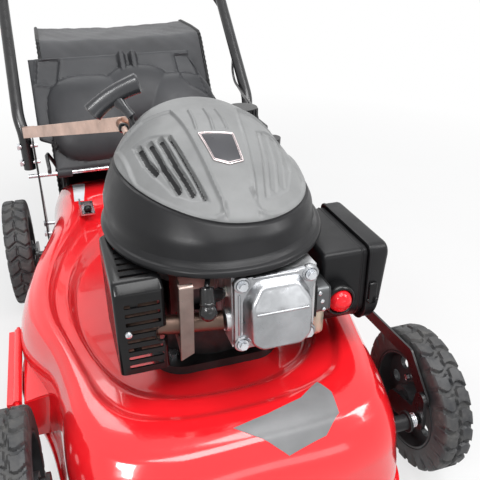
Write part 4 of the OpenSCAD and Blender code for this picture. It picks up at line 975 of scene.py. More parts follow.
def make_wheels():
    for name, (side, y, r, w) in WHEELS.items():
        make_tyre(name, side, y, r, w)
        # raised rings and bolts on both faces of the rim
        for face, x in (("in", TRACK_HALF - w + 1.4), ("out", TRACK_HALF - 1.4)):
            points = [np.array((side * x, y + u, r + v)) for u, v in ring(r - RING_IN, 72)]
            loop(f"{name}_{face}_ring", points, 1.7, name + "_wheel", RIM, 8, (1, 0, 0),
                 slot="rim_plastic")
        for k in range(4):
            a = math.pi / 4 + k * math.pi / 2
            for face, out in (("in", -1), ("out", 1)):
                x = TRACK_HALF - w / 2 + 3 * out
                foot = (side * x, y + RIM_BOLT_R * math.cos(a), r + RIM_BOLT_R * math.sin(a))
                tip = (side * (x + out * 5), foot[1], foot[2])
                rod(f"{name}_{face}_bolt_{k}", foot, tip, 4.6, name + "_wheel", ZINC, 6, 0.8,
                    slot="zinc_plate")


# ---------------------------------------------------------------- rear lid and catcher

ROD = np.array((0.0, 480.0, 262.0))
FLAP_ANGLE = math.radians(52)
FLAP_L, FLAP_OFF, FLAP_T = 240, 5, 4
KNUCKLE_R, ROD_BORE = 9, 4.05
UP_SLOPE = np.array((0, math.cos(FLAP_ANGLE), math.sin(FLAP_ANGLE)))
OFF_SLOPE = np.array((0, -math.sin(FLAP_ANGLE), math.cos(FLAP_ANGLE)))


def on_lid(x, s, h):
    """Point on the rear lid: x across, s up the slope from the rod, h off the slope."""
    return ROD + np.array((x, 0, 0)) + s * UP_SLOPE + h * OFF_SLOPE


def bump(x, s, mid, half, n=2.6):
    """1 at mid, falling to 0 on a rounded rectangle of half width and half height."""
    d = (np.abs((x - mid[0]) / half[0]) ** n + np.abs((s - mid[1]) / half[1]) ** n) ** (1 / n)
    return np.clip(1 - d, 0, 1)


LID_PANEL = [(-186, 186), (-149, 178), (-136, 233), (-178, 236)]
LID_PANEL_RIGHT = [(118, 150), (150, 128), (140, 190), (128, 226), (100, 228), (104, 170)]


def lid_height(x, s):
    left = bump(x, s, (-92, 106), (80, 90), 3.0)
    right = bump(x, s, (92, 100), (76, 88), 3.0)
    hood = bump(x, s, (14, 150), (74, 62), 2.2)
    h = np.maximum.reduce([height * np.sqrt(np.clip(b * 2 - b ** 2, 0, 1))
                           for height, b in ((30, left), (26, right), (21, hood))])
    # bars that run up the middle to the top edge
    for middle in (-12, 12):
        h = np.maximum(h, 13 * step((9 - np.abs(x - middle)) / 5) * step((s - 150) / 40))
    for outline in (LID_PANEL, LID_PANEL_RIGHT):
        d = polygon_distance(x, s, outline)
        h -= 3.0 * step((1.5 - d) / 2.5)
        h += 1.6 * np.exp(-((d - 3.5) / 2.0) ** 2)
    return h


def lid_sides(s):
    """Left and right edge of the lid at a height up the slope."""
    left = -172 - 24 * float(step((s - 56) / 14))
    right = 172 + 2 * float(step((s - 56) / 14))
    right -= 42 * min(max((s - 118) / 104, 0), 1)
    return left, right


def make_lid():
    rows, cols = 96, 150
    up = 2 + (FLAP_L - 3) * np.arange(rows) / (rows - 1)
    xs = np.array([np.linspace(*lid_sides(s), cols) for s in up])
    ss = np.repeat(up[:, None], cols, 1)
    heights = lid_height(xs, ss) + FLAP_OFF + FLAP_T
    i, j = np.indices((rows, cols))
    edge = np.minimum.reduce([i, rows - 1 - i, j, cols - 1 - j])
    heights -= 2.2 * np.exp(-edge / 0.8)
    back = np.maximum(FLAP_OFF, heights - FLAP_T)
    verts = [tuple(on_lid(*p)) for h in (heights, back) for p in zip(xs.flat, ss.flat, h.flat)]
    piece("rear_lid", verts, sheet_faces(rows, cols), "rear_flap", LID_PLASTIC, 40, ("rear_flap",),
          slot="lid_plastic")
    for name, x, length in (("left", -158, 28), ("middle", 0, 60), ("right", 158, 28)):
        tube(f"lid_knuckle_{name}", ROD + (x - length / 2, 0, 0), ROD + (x + length / 2, 0, 0),
             KNUCKLE_R, ROD_BORE, "rear_flap", LID_PLASTIC, slot="lid_plastic")
    # ladder of ribs moulded at the lower left
    for k in range(6):
        s = 52 + 9 * k
        a, b = on_lid(-166, s, 14), on_lid(-150, s, 14)
        rod(f"lid_ladder_{k}", a, b, 1.6, "rear_flap", BLACK_SATIN, 8, slot="lid_plastic")
    for x in (167, 149):
        rod(f"lid_ladder_side_m{x}", on_lid(-x, 46, 13), on_lid(-x, 104, 13), 2.4, "rear_flap",
            BLACK_SATIN, 8, slot="lid_plastic")


BAG_HALF, BAG_RINGS = 172, 12
# side outline of the catcher, from the front bottom over the top
BAG_SIDE = [(579, 104), (579, 345), (668, 472), (684, 484), (760, 486), (880, 484), (936, 452),
            (956, 400), (972, 290), (972, 206), (952, 152), (908, 132), (740, 118)]


def bag_outline():
    """The side outline with rounded corners, evenly spaced."""
    line = corners(BAG_SIDE, 16, 4, 0.4)
    line = np.array(line + line[:1])
    length = np.concatenate([[0], np.cumsum(np.linalg.norm(np.diff(line, axis=0), axis=1))])
    even = np.linspace(0, length[-1], 161)[:-1]
    return np.stack([np.interp(even, length, line[:, k]) for k in (0, 1)], 1)


def make_bag():
    """Fabric catcher: panels that belly in and sag between their seams, open at the mouth."""
    outline = bag_outline()
    centre = np.array((780.0, 300.0))
    n = len(outline)
    across_n = 56
    xs = BAG_HALF * np.sin(np.linspace(-math.pi / 2, math.pi / 2, across_n + 1))
    rng = np.random.default_rng(7)
    phase = rng.uniform(0, 2 * math.pi, 12)

    def fold(x, y, z):
        return (1.6 * math.sin(0.050 * x + 0.021 * z + phase[0]) * math.sin(0.030 * y + phase[1])
                + 1.0 * math.sin(0.092 * x - 0.050 * y + phase[2]) * math.sin(0.061 * z + phase[3])
                + 0.6 * math.sin(0.17 * x + 0.11 * y + 0.13 * z + phase[4]))

    verts = []
    for x in xs:
        share = 1 - (abs(x) / BAG_HALF) ** 8
        for k, (y, z) in enumerate(outline):
            d = np.array((y, z)) - centre
            d /= np.linalg.norm(d)
            mouth = float(step((y - 590) / 60))
            top = float(step((z - 440) / 40))
            sag = 7.0 * math.cos(math.pi / 2 * x / BAG_HALF) ** 0.8 * top * mouth
            hollow = (2.5 + fold(x, y, z)) * mouth * share
            p = np.array((y, z)) - d * hollow - np.array((0, sag))
            p = centre + (p - centre) * (1 - 0.018 * (1 - share))
            verts.append((x, p[0], p[1]))
    faces = grid_faces(across_n + 1, n, False, True)
    # side panels: rings that close in to the middle, pulled in like slack cloth
    for edge, sign in ((0, -1), (across_n * n, 1)):
        base = verts[edge:edge + n]
        first = len(verts)
        for j in range(1, BAG_RINGS):
            t = j / BAG_RINGS
            for y0, z0 in (point[1:] for point in base):
                y, z = y0 + (centre[0] - y0) * t, z0 + (centre[1] - z0) * t
                deep = 9 * math.sin(math.pi / 2 * min(1, t * 1.6))
                deep += 1.3 * fold(3 * y, z, y) * min(1, 3 * t)
                deep *= float(step((y - 585) / 70))
                verts.append((sign * (BAG_HALF - max(0, deep)), y, z))
        tip = len(verts)
        verts.append((sign * (BAG_HALF - 9), centre[0], centre[1]))
        rows = [edge] + [first + j * n for j in range(BAG_RINGS - 1)]
        for a, b in zip(rows[:-1], rows[1:]):
            faces += [(a + k, a + (k + 1) % n, b + (k + 1) % n, b + k) for k in range(n)]
        faces += [(rows[-1] + k, rows[-1] + (k + 1) % n, tip) for k in range(n)]
    bag = piece("catcher_fabric", verts, faces, None, FABRIC, 50)
    solid = bag.modifiers.new("wall", "SOLIDIFY")
    solid.thickness = 0.003
    solid.offset = -1
    cut(bag, [block((-152, 560, 120), (152, 600, 226))], 50)
    settle(bag, "catcher", "catcher_fabric", "catcher_bag")
    # corded piping with a stitch swell along both side seams
    for sign, name in ((-1, "left"), (1, "right")):
        row = 0 if sign < 0 else across_n
        points = [np.array(v) + (sign * 0.6, 0, 0) for v in verts[row * n:(row + 1) * n]]
        loop(f"catcher_piping_{name}", smooth_line(points, 3, True), 3.4, "catcher", BLACK_SATIN, 8,
             (1, 0, 0), lambda i: 1 + 0.16 * math.cos(math.pi / 2 * i), slot="catcher_fabric")


# ---------------------------------------------------------------- handle, cords and starter grip

TUBE_R, TUBE_WALL = 11, 1.5
SLOPE = math.radians(43)
HANDLE_UP = np.array((0, math.cos(SLOPE), math.sin(SLOPE)))
HANDLE_OFF = (0, -math.sin(SLOPE), math.cos(SLOPE))
HANDLE_X, KNEE_OUT, FOLD_TAIL = 221, 6, 30
KNEE, FOLD = (505, 372), (739.0, 590.2)
UPPER_X = HANDLE_X + KNEE_OUT - 2 * TUBE_R - 0.4
HANDLE_END = (1170.5, 992.6)
BAIL_PIVOT, BAIL_L, BAIL_D, BAIL_OPEN = (1075.5, 904.0), 110, 8, math.radians(35)
BAIL_X = UPPER_X - TUBE_R - BAIL_D / 2 - 1
BAIL_BEND = 24


def make_handle():
    tail = FOLD_TAIL * HANDLE_UP
    lower_x = HANDLE_X + KNEE_OUT
    for side, name in ((-1, "left"), (1, "right")):
        pts = [(side * HANDLE_X, 485, 276), (side * HANDLE_X, 487, 342),
               (side * lower_x, *KNEE), np.array((side * lower_x, *FOLD)) + tail]
        hollow_bar(f"lower_tube_{name}", rounded_line(pts, 16, 12), TUBE_R, TUBE_WALL, "frame",
                   BLACK_PAINT, replaces=(f"lower_handle_{name}",), slot="handle_paint")
    low = np.array(FOLD) - tail[1:]
    pts = [(-UPPER_X, *low), (-UPPER_X, *HANDLE_END), (UPPER_X, *HANDLE_END), (UPPER_X, *low)]
    hollow_bar("upper_tube", rounded_line(pts, 44, 18), TUBE_R, TUBE_WALL, "upper_handle",
               BLACK_PAINT, HANDLE_OFF, replaces=("upper_handle",), slot="handle_paint")
    a = SLOPE + BAIL_OPEN
    end = (BAIL_PIVOT[0] + BAIL_L * math.cos(a), BAIL_PIVOT[1] + BAIL_L * math.sin(a))
    foot = BAIL_PIVOT
    half = (0.5 * (foot[0] + end[0]), 0.5 * (foot[1] + end[1]))
    line = rounded_line([(-UPPER_X + 1, *foot), (-BAIL_X, *foot), (-BAIL_X, *half)], 7, 6)
    line += rounded_line([(-BAIL_X, *half), (-BAIL_X, *end), (BAIL_X, *end), (BAIL_X, *half)],
                         BAIL_BEND, 10)[1:]
    line += rounded_line([(BAIL_X, *half), (BAIL_X, *foot), (UPPER_X - 1, *foot)], 7, 6)[1:]
    sweep("bail_rod", line, ring(BAIL_D / 2, 16), "bail_bar", BLACK_PAINT,
          (0, -math.sin(a), math.cos(a)), replaces=("bail_bar",), slot="handle_paint")
    # sleeves on the crossbar
    for x in (-110, 110):
        sweep(f"crossbar_sleeve_{'left' if x < 0 else 'right'}",
              [(x - 46, *HANDLE_END), (x + 46, *HANDLE_END)], ribbed(TUBE_R + 1.2), "upper_handle",
              RUBBER, HANDLE_OFF, slot="black_rubber")


def ribbed(r, ribs=18, depth=0.35, sides=144):
    """A round section with ribs."""
    turns = np.arange(sides) * 2 * math.pi / sides
    radii = r + depth * np.cos(ribs * turns)
    return list(zip(radii * np.cos(turns), radii * np.sin(turns)))


CABLE_ROUTE = [(204.6, 1084, 894), (204.6, 915, 736), (205, 778, 608), (214, 730, 556),
               (227, 680, 516), (227, 610, 450), (216, 570, 416), (210, 535, 400), (202, 480, 398),
               (188, 410, 402), (174, 330, 408), (164, 262, 404), (156, 230, 394), (151, 218, 376)]
ROPE_ROUTE = [(-45.5, 2, 423.8), (-47.5, 32, 426.8), (-53.5, 64, 441.8), (-64, 84, 454),
              (-68, 88, 473)]


def make_cords():
    """Cable and rope, each swept along its route."""
    cable = sweep("brake_cable_sheath", smooth_line(CABLE_ROUTE, 12), ring(2.5, 14), None, RUBBER,
                  replaces=("brake_cable",), slot="black_rubber")
    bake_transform(cable)
    rope = sweep("pull_rope", smooth_line(ROPE_ROUTE, 14), ribbed(2.5, 3, 0.175, 18), None, ROPE,
                 replaces=("starter_rope",), slot="rope")
    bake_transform(rope)


GRIP_FOOT, GRIP_MID = np.array((-67.0, 87, 471)), np.array((-86.0, 100, 496))


def make_grip():
    """Curved T grip with a flared saddle, on a tapered stem."""
    along = np.array((33.0, 0, 18)) / np.hypot(33, 18)
    up = GRIP_MID - GRIP_FOOT
    up /= np.linalg.norm(up)
    bow = up - along * (up @ along)
    bow /= np.linalg.norm(bow)
    path = [GRIP_MID + along * 37 * t + bow * (1.6 - 4.6 * t * t) for t in np.linspace(-1, 1, 31)]
    section = [(12.0 * rooted(c, 0.8), 10.4 * rooted(s, 0.8)) for c, s in ring(1, 36)]

    def taper(t):
        e = abs(2 * t - 1)
        return 1.0 + 0.12 * e ** 3 - 0.35 * max(0, e - 0.955) / 0.045

    sweep("grip_bar", path, section, "starter_grip", GRIP_PLASTIC, tuple(np.cross(along, bow)),
          taper, replaces=("starter_grip",), slot="gloss_black_plastic")
    profile = [(2.8, 0.0), (5.2, 0), (6.2, 1.2), (6.0, 10), (6.4, 16), (8.4, 23), (9.5, 27)]
    lathe("grip_stem", profile, GRIP_FOOT, up, "starter_grip", GRIP_PLASTIC, 28,
          slot="gloss_black_plastic")


# ---------------------------------------------------------------- engine details

CYLINDER_X, CYLINDER_Z, HEAD_FRONT = 43, 306, 150
COVER_BOLTS = ((-40, 39), (40, 39), (-40, -39), (40, -39))


def make_valve_cover():
    """Cast cover: flange with ears, steep walls, and an upper face that leans back."""

    def spot(x, z, out):
        return (CYLINDER_X + x, -HEAD_FRONT - out, CYLINDER_Z + z)

    def ring_of(points, out):
        return [spot(x, z, out(z) if callable(out) else out) for x, z in points]

    flange = corners([(-49, -47), (34, -47), (44, -36), (45, 22), (49, 30), (49, 47),
                      (-49, 47)], 9, 6)
    rows = [ring_of(inset(flange, 0.8), 0), ring_of(flange, 0.8), ring_of(flange, 5.8),
            ring_of(inset(flange, 0.5), 6.7), ring_of(inset(flange, 1.6), 7.1)]
    stack("valve_cover_flange", rows, "frame", VALVE, 30, replaces=("valve_cover",),
          slot="cover_aluminium")

    outline = [(-38, -30), (-24, -42), (26, -42), (39, -28), (39, 18), (24, 41), (-22, 41),
               (-38, 20)]

    def face(z):
        # below the crease the face stands upright, above it leans back
        return 28.5 - 13.0 * max(0.0, (z - 10) / 32) ** 1.05

    base = corners(outline, 7, 4)
    rows = [ring_of(inset(base, -3.5), 6.4), ring_of(inset(base, -1.6), 7.4),
            ring_of(inset(base, -0.4), 9.4)]
    for by, share in ((1.0, 0.35), (2.6, 0.72), (3.6, 0.88), (4.8, 0.955), (6.2, 0.99)):
        rows.append([spot(x, z, 8 + (face(z) - 8) * share) for x, z in inset(base, by)])
    inner = inset(base, 7.6)
    middle = np.array((0.0, 10.0))
    for s in (1.0, 0.96, 0.85, 0.7, 0.5, 0.3, 0.1):
        rows.append(ring_of([middle + (p - middle) * s for p in inner], face))
    stack("valve_cover_dome", rows, "frame", VALVE, 26, slot="cover_aluminium")
    # crease between the two faces, and the ridges between the ears
    for name, a, b, out, r, sides, edge in (
            ("crease", (-30, 10), (31, 10), 27.6, 1.5, 16, 0.7),
            ("ridge_0", (-43.5, 27), (-43.5, -27), 7.4, 1.6, 14, 0.8),
            ("ridge_1", (-28, 45), (26, 45), 7.4, 1.6, 14, 0.8)):
        rod(f"valve_cover_{name}", spot(*a, out), spot(*b, out), r, "frame", VALVE, sides, edge,
            slot="cover_aluminium")
    for k, (x, z) in enumerate(COVER_BOLTS):
        lathe(f"valve_cover_ear_{k}", [(6.7, 0), (9.6, 0), (10, 1), (10, 6.8), (9.4, 8), (8.2, 8.5),
                                       (7.4, 8.3), (6.7, 7.4)],
              spot(x, z, 0.4), (0, -1, 0), "frame", VALVE, 36, slot="cover_aluminium")


GUARD_LOW, GUARD_HIGH, GUARD_WALL = (-134, -138, 240), (-78, -8, 355), 2.5


def make_guard():
    """Moulded muffler guard: open at the back and below, with slots and a round notch."""
    x0, y0, z0 = GUARD_LOW
    x1, y1, z1 = GUARD_HIGH
    plan_line = corners([(x0, y0), (x1, y0), (x1, y1), (x0, y1)], 7, 6)

    def shell(by, low, far):
        """Levels of the shell, moved in by a wall, and drawn on at the open back."""
        rows = []
        for z, front, sides in ((low, 0, 0), (z1 - 12, 0, 0), (z1 - 10.5, 0.5, 0.1),
                                (z1 - 9.4, 1.4, 0.3), (z1 - 2.6, 8.2, 0.9), (z1 - 1.6, 9.4, 1.4),
                                (z1 - 0.8, 11, 2.2), (z1, 14, 4.0)):
            row = []
            for x, y in plan_line:
                u = (x - (x0 + x1) / 2) / ((x1 - x0) / 2)
                v = (y - y0) / (y1 - y0)
                row.append((x - (sides + by) * u, y + (front + by) * (1 - v) + far * v,
                            z - (by if z > low else 0)))
            rows.append(row)
        return rows

    def slot_through(u0, v0, u1, v1, ends, place):
        line = corners([(u0, v0), (u1, v0), (u1, v1), (u0, v1)], 1.6, 3)
        cutters.append(stack("cutter", [[place(u, v, w) for u, v in line] for w in ends], None,
                             BLACK_GLOSS))

    guard = stack("muffler_guard_shell", shell(0, z0, 0), None, BLACK_GLOSS, 28)
    cutters = [stack("cutter", shell(GUARD_WALL, z0 - 3, 20), None, BLACK_GLOSS)]
    pitch = (z1 - z0 - 24) / 8
    for k in range(8):
        low = z0 + 7.5 + pitch * k
        high = low + pitch * 0.46
        slot_through(x0 + 11, low, x1 - 6, high, (y0 - 4, y0 + 8), lambda u, v, w: (u, w, v))
        slot_through(y0 + 12, low, y1 - 20, high, (x0 - 4, x0 + 8), lambda u, v, w: (w, u, v))
    for k in range(7):
        y = y0 + 20 + 14 * k
        slot_through(x0 + 12, y, x1 - 10, y + 5, (z1 - 9, z1 + 4), lambda u, v, w: (u, v, w))
    for a, b, r in (((x1 - 4, y0 - 4, z0 + 48), (x1 - 4, y0 + 8, z0 + 48), 9.5),
                    ((x1 - 8, -125.3, 290), (x1 + 8, -125.3, 290), 12.5)):
        cutters.append(rod("cutter", a, b, r, None, BLACK_GLOSS, 40))
    cut(guard, cutters, 28)
    settle(guard, "frame", "black_metal", "muffler_guard")
    lip = []
    for r, y, ends in ((10.4, y0 - 0.2, (98, 262)), (9.6, y0 + 0.6, (262, 98))):
        lip += [np.array((x1 - 4 + r * math.cos(a), y, z0 + 48 + r * math.sin(a)))
                for a in np.radians(np.linspace(*ends, 30))]
    loop("guard_notch_lip", lip, 0.5, "frame", BLACK_GLOSS, 8, (0, 1, 0), slot="black_metal")
    for z in (268, 330):
        rod(f"guard_post_{z}", (-112, y0 + GUARD_WALL - 0.4, z), (-112, -129.9, z), 4.5, "frame",
            BLACK_GLOSS, 24, slot="black_metal")
    screw("guard_screw", (-121, y0 - 0.1, 295), (0, -1, 0), 4.2, "frame")


def make_heat_plate():
    """Bent sheet between the muffler and the head, with its front edge turned to the front."""
    line = rounded_line([(-50.5, -155.4), (-66, -155.4), (-63.2, -146), (-61.4, -76)], 2.5, 5)
    line = [np.array(p) for p in line]
    sheet = []
    for i, p in enumerate(line):
        d = line[min(i + 1, len(line) - 1)] - line[max(i - 1, 0)]
        d /= np.linalg.norm(d)
        sheet.append((p, np.array((-d[1], d[0])) * 0.6))
    section = [p + n for p, n in sheet] + [p - n for p, n in reversed(sheet)]
    rows = []
    for t in np.arange(12) / 11:
        row = []
        for x, y in section:
            # the front strip is cut at a slant below and stands higher than the rest
            edge = min(max((x + 66) / 15.5, 0), 1) if y < -150 else 0
            low = 259 + 8 * edge
            high = 351 - (0 if y < -150 else 2)
            row.append((x - 2.5 * (1 - t) * (y < -140), y, low + (high - low) * t))
        rows.append(row)
    # the top rolls back
    for k in range(1, 6):
        a = k / 5 * math.radians(70)
        rows.append([(x, y + 7 * (1 - math.cos(a)), rows[11][i][2] + 7 * math.sin(a) * 0.5)
                     for i, (x, y) in enumerate(section)])
    plate = stack("heat_strip", rows, None, HEAT, 30)
    cut(plate, [rod("cutter", (-80, -129, 290), (-52, -129, 290), 15, None, HEAT, 40)], 30)
    settle(plate, "frame", "hot_steel", "heat_plate")
    tab = corners([(-61.5, 300), (-7.6, 300), (-7.6, 320), (-61.5, 320)], 2, 3)
    stack("heat_strip_tab", [[(x, y, z) for x, z in tab] for y in (-78, -76.5)], "frame", HEAT,
          slot="hot_steel")


AIR_LOW, AIR_HIGH = (119, -115, 232), (178, 20, 338)
PRIMER = (137, -128, 281)


def air_outline(grow, r):
    y0, y1, z0, z1 = AIR_LOW[1] - grow, AIR_HIGH[1] + grow, AIR_LOW[2] - grow, AIR_HIGH[2] + grow
    return corners([(y0, z1), (y0, z0 + 20), (y0 + 16, z0), (y1 - 14, z0), (y1, z0 + 14), (y1, z1)],
                   r, 7)


def make_air_box():
    """Filter housing, its clip-on cover and the primer's socket."""
    x0, x1 = AIR_LOW[0], AIR_HIGH[0]
    rows = []
    for x, by in ((x0, 4.5), (x0 + 0.5, 2.8), (x0 + 1.6, 1.2), (x0 + 3.4, 0.3), (x0 + 5.5, 0),
                  (x1 - 8, 0), (x1 - 7.4, -0.5), (x1 - 6.6, -0.7), (x1 - 5.8, -0.5), (x1 - 5.2, 0),
                  (x1, 0), (x1, 3), (x0 + 4, 3), (x0 + 3, 4)):
        rows.append([(x, y, z) for y, z in air_outline(-by, 9)])
    box = stack("filter_housing", rows, None, BLACK_SATIN, 30)
    duct = rod("cutter", (x0 - 8, -104, 296), (x0 + 8, -104, 296), 8, None, BLACK_SATIN, 32)
    cut(box, [duct], 30)
    settle(box, "frame", "black_plastic", "air_filter_base")
    # the cover overhangs the housing and narrows towards its lower edge
    rim, cap, wall = x1 + 0.5, 207, 2.2

    def out(x, z):
        return rim + (x - rim) * (1 - 0.36 * max(0.0, (330 - z) / 98) ** 1.3)

    # the first three rows are inside, the others run from the rim to the top
    rows = [[(out(x, z), y, z) for y, z in air_outline(grow, 13)] for x, grow in (
        (rim + 2, 2.4), (cap - 7, 1.4), (cap - wall, -9), (rim, 2.4), (rim, 5.0), (rim + 1.2, 5.4),
        (rim + 2.4, 5.4), (rim + 3, 4.7), (rim + 4, 4.7), (cap - 7, 4.7), (cap - 4.4, 3.9),
        (cap - 2.2, 2.0), (cap - 0.8, -0.8), (cap - 0.1, -4.5), (cap, -9))]
    stack("filter_cover", rows, "air_filter_cover", BLACK_SATIN, 30, replaces=("air_filter_cover",),
          slot="black_plastic")
    # clip over the front edge
    y = AIR_LOW[1] - 5.6
    clip = corners([(x1 + 3, 262), (x1 + 14, 262), (x1 + 14.5, 292), (x1 + 2.5, 292)], 3, 4)
    rows = [[(x, q, z) for x, z in inset(clip, by)] for q, by in
            ((y + 3, 0), (y - 1.6, 0), (y - 2.6, 0.6), (y - 3.2, 1.8))]
    stack("filter_clip", rows, "air_filter_cover", BLACK_GLOSS, 30, slot="black_plastic")
    rod("filter_clip_pin", (x1 + 1.5, y - 0.6, 266.5), (x1 + 15.5, y - 0.6, 266.5), 2.4,
        "air_filter_cover", BLACK_GLOSS, 20, 0.6, slot="black_plastic")
    lathe("primer_socket", [(15.4, 11), (15.4, -3.0), (16.6, -4.6), (18.6, -4.6), (20.2, -3.2),
                            (21, 0), (21, 13)],
          PRIMER, (0, 1, 0), "frame", BLACK_GLOSS, 56, slot="black_plastic", closed=False)
    lathe("primer_dome", [(14.9, 1.9), (15, 0), (14.6, -3.4), (13.5, -6.6), (11.5, -9.7),
                          (8.5, -12.3), (4.6, -14.3), (1.6, -14.9), (0, -15)],
          PRIMER, (0, 1, 0), "primer_bulb", BULB, 48, replaces=("primer_bulb",), slot="red_rubber")


def make_carburettor():
    """Insulator, cast body with its screws, duct to the filter, float bowl and shaft."""
    x = 93

    def slab(name, x0, x1, low, high, material, r, edge):
        (y0, z0), (y1, z1) = low, high
        line = corners([(y0, z0), (y0, z1), (y1, z1), (y1, z0)], r, 4)
        rows = [[(q, y, z) for y, z in inset(line, by)]
                for q, by in ((x0, edge), (x0 + edge, 0), (x1 - edge, 0), (x1, edge))]
        return stack(f"carburettor_{name}", rows, "frame", material, 30, slot="zinc_casting")

    slab("insulator", x, x + 4, (-148, 276), (-122, 322), BLACK_SATIN, 5, 0.5)
    body = slab("body", x + 4, x + 22, (-146, 280), (-104, 314), DARK_STEEL, 6, 1.6)
    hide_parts("carburettor")
    slab("duct", x + 20, AIR_LOW[0], (-113.4, 286), (-97.6, 309), BLACK_SATIN, 5, 0.6)
    lathe("float_bowl", [(0, -41), (4.2, -41), (4.4, -39.5), (7.6, -38), (9.2, -36), (9.6, -33),
                         (9.8, -6), (10.6, -5), (10.6, -2.5), (9.8, -2), (9.8, 1)],
          (x + 13, -128, 281), (0, 0, 1), "frame", BRASS, 40, slot="zinc_casting")
    for k, (y, z) in enumerate(((-140.5, 308.5), (-140.5, 285.5))):
        screw(f"carburettor_screw_{k}", (x + 8.5 + 6 * k, -146, z), (0, -1, 0), 2.6, "frame")
    rod("throttle_shaft", (x + 12, -147.5, 297), (x + 12, -120, 297), 2.6, "frame", ZINC, 20, 0.5,
        slot="zinc_casting")


def make_boot():
    """Spark plug boot: ribbed stem, ball elbow with a sleeve above it, and the lead."""
    seat, tip = np.array((-9.0, -128, 322)), np.array((-26.0, -148, 332))
    start, end = seat + 0.45 * (tip - seat), seat + 1.65 * (tip - seat)
    axis = end - start
    length = np.linalg.norm(axis)
    lathe("plug_boot_stem", [(5.2, 0), (6.6, 0.3), (7.4, 1), (7.4, 3), (6.6, 4), (6.6, 7),
                             (7.4, 8), (7.4, length)],
          start, axis, "frame", RUBBER, 32, slot="black_rubber")
    low, high = np.array((-38.0, -166, 324)), np.array((-36.0, -156, 350))
    up = high - low
    height = np.linalg.norm(up)
    profile = [(0, -9.6), (3, -9.2), (5.9, -7.7), (8.2, -5.2), (9.6, -2), (9.9, 1), (9.5, 4),
               (8.6, 6.2), (8.2, 7), (8.2, 8), (8.8, 8.8), (8.8, 10.4), (8.2, 11.2), (8.0, 12),
               (8.0, height - 3), (7.2, height - 0.8), (3.2, height)]
    lathe("plug_boot", profile, low, up, "frame", RUBBER, 44, replaces=("spark_boot",),
          slot="black_rubber")
    lead = [(-36, -156, 342), (-33, -147, 350), (-27, -136, 358), (-14, -126, 368),
            (4, -119, 374), (20, -109, 376)]
    sweep("plug_lead", smooth_line(lead, 8), ring(3, 14), "frame", RUBBER, (0, 0, 1),
          slot="black_rubber")


# ---------------------------------------------------------------- marks, balls and chute


def make_deck_marks(deck):
    """Bare trim plate on the front of the deck and a blank label on the rear tunnel."""
    surface = surface_of(deck)
    patch("deck_trim", surface, [(96, -163), (66, -184), (20, -196), (-24, -204)],
          [(105, -186), (102, -214), (78, -232), (30, -240)], 40, 16, 0.5, 0.8, "frame",
          DECAL_GREY, slot="zinc_plate")
    patch("tunnel_label", surface, [(-147, 548), (-147, 500), (-149, 440)],
          [(-122, 536), (-124, 500), (-131, 437)], 24, 10, 0.4, 0.6, "frame", LABEL,
          slot="plug_ceramic")


def make_balls():
    """Black balls: one under the brake lever's plate, one on the stud that carries the stay."""
    for name, place, r, slot in (("brake_lever_ball", (-128, 372, 226), 7.4, "zinc_plate"),
                                 ("stay_ball", (-76, 115.5, 449), 7.2, "stay_steel")):
        profile = [(r * math.cos(a), r * math.sin(a)) for a in np.radians(np.linspace(-86, 86, 17))]
        profile[3:3] = [(r * 1.02, -r * 0.62)]
        lathe(name, [(0, -r)] + profile + [(0, r)], place, (0, 0.2, 1), "frame",
              BLACK_GLOSS, 32, slot=slot)


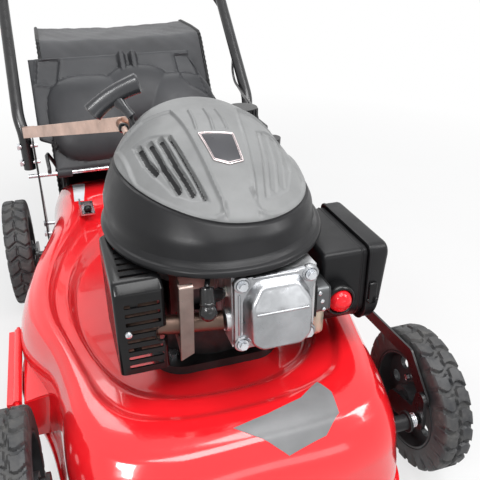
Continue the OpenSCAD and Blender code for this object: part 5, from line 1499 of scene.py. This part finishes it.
def make_chute(deck):
    """Sheet hood between the deck's wall and the side flap, with a cheek in front."""
    surface = surface_of(deck)
    edge = -257

    def wall(y, z):
        hit = surface.ray_cast(at((-420, y, z)), Vector((1, 0, 0)))[0]
        return ((hit - ORIGIN) * 1000).x

    rows = []
    for y in np.linspace(-11, 84, 25):
        a = wall(y, 132) + 1.5
        b = min(edge, a - 2)
        rows.append([(a, y, 134), (0.6 * a + 0.4 * b, y, 131.8), (b + 2, y, 127.8), (b, y, 126.4),
                     (b - 0.6, y, 124.8), (b + 0.6, y, 123.6), (b + 2.4, y, 125.4),
                     (a + 1.5, y, 130.6)])
    stack("chute_hood", rows, "frame", RED, 40, slot="deck_paint")
    outline = [(wall(-10, z) + 1.8, z) for z in np.linspace(66, 131, 12)]
    outline += [(edge + 1, 126.2), (edge, 124), (edge, 76), (edge + 6, 66)]
    stack("chute_cheek", [[(x, y, z) for x, z in outline] for y in (-12, -9.5)], "frame", RED, 40,
          slot="deck_paint")


# ---------------------------------------------------------------- the object

deck = make_deck()
make_deck_marks(deck)
make_chute(deck)
make_shroud()
make_badge(make_cover())
make_wheels()
make_lid()
make_bag()
make_handle()
make_cords()
make_grip()
make_valve_cover()
make_guard()
make_heat_plate()
make_air_box()
make_carburettor()
make_boot()
make_balls()

# ---------------------------------------------------------------- floor

FLOOR_HALF = 6
floor_mesh = bpy.data.meshes.new("floor")
floor_mesh.from_pydata([(x * FLOOR_HALF, y * FLOOR_HALF, 0) for x, y in
                        ((-1, -1), (1, -1), (1, 1), (-1, 1))], [], [(0, 1, 2, 3)])
floor = bpy.data.objects.new("floor", floor_mesh)
scene.collection.objects.link(floor)
ground = Graph("pale_floor", (0.56, 0.56, 0.56), 0.7)
ground.tint(ground.noise(3, 2), (0.55, 0.55, 0.55), (0.58, 0.58, 0.58))
# the floor is seen to fade to white away from the object, also in reflections
white = ground.node("ShaderNodeEmission", Color=(1, 1, 1, 1), Strength=1.0)
far = ground.t.nodes.new("ShaderNodeVectorMath")
far.operation = "LENGTH"
ground.link(ground.coord, far.inputs[0])
fade = ground.node("ShaderNodeMapRange", From_Min=0.55, From_Max=1.7, To_Min=0.7, To_Max=1.0)
ground.link(far.outputs["Value"], fade.inputs["Value"])
share = maths(ground.t, "MULTIPLY", fade.outputs["Result"], seen_rays(ground.t))
blend_floor = ground.t.nodes.new("ShaderNodeMixShader")
ground.link(share, blend_floor.inputs["Fac"])
ground.link(ground.b.outputs[0], blend_floor.inputs[1])
ground.link(white.outputs[0], blend_floor.inputs[2])
ground.link(blend_floor.outputs[0], ground.t.nodes["Material Output"].inputs["Surface"])
floor.data.materials.append(ground.m)
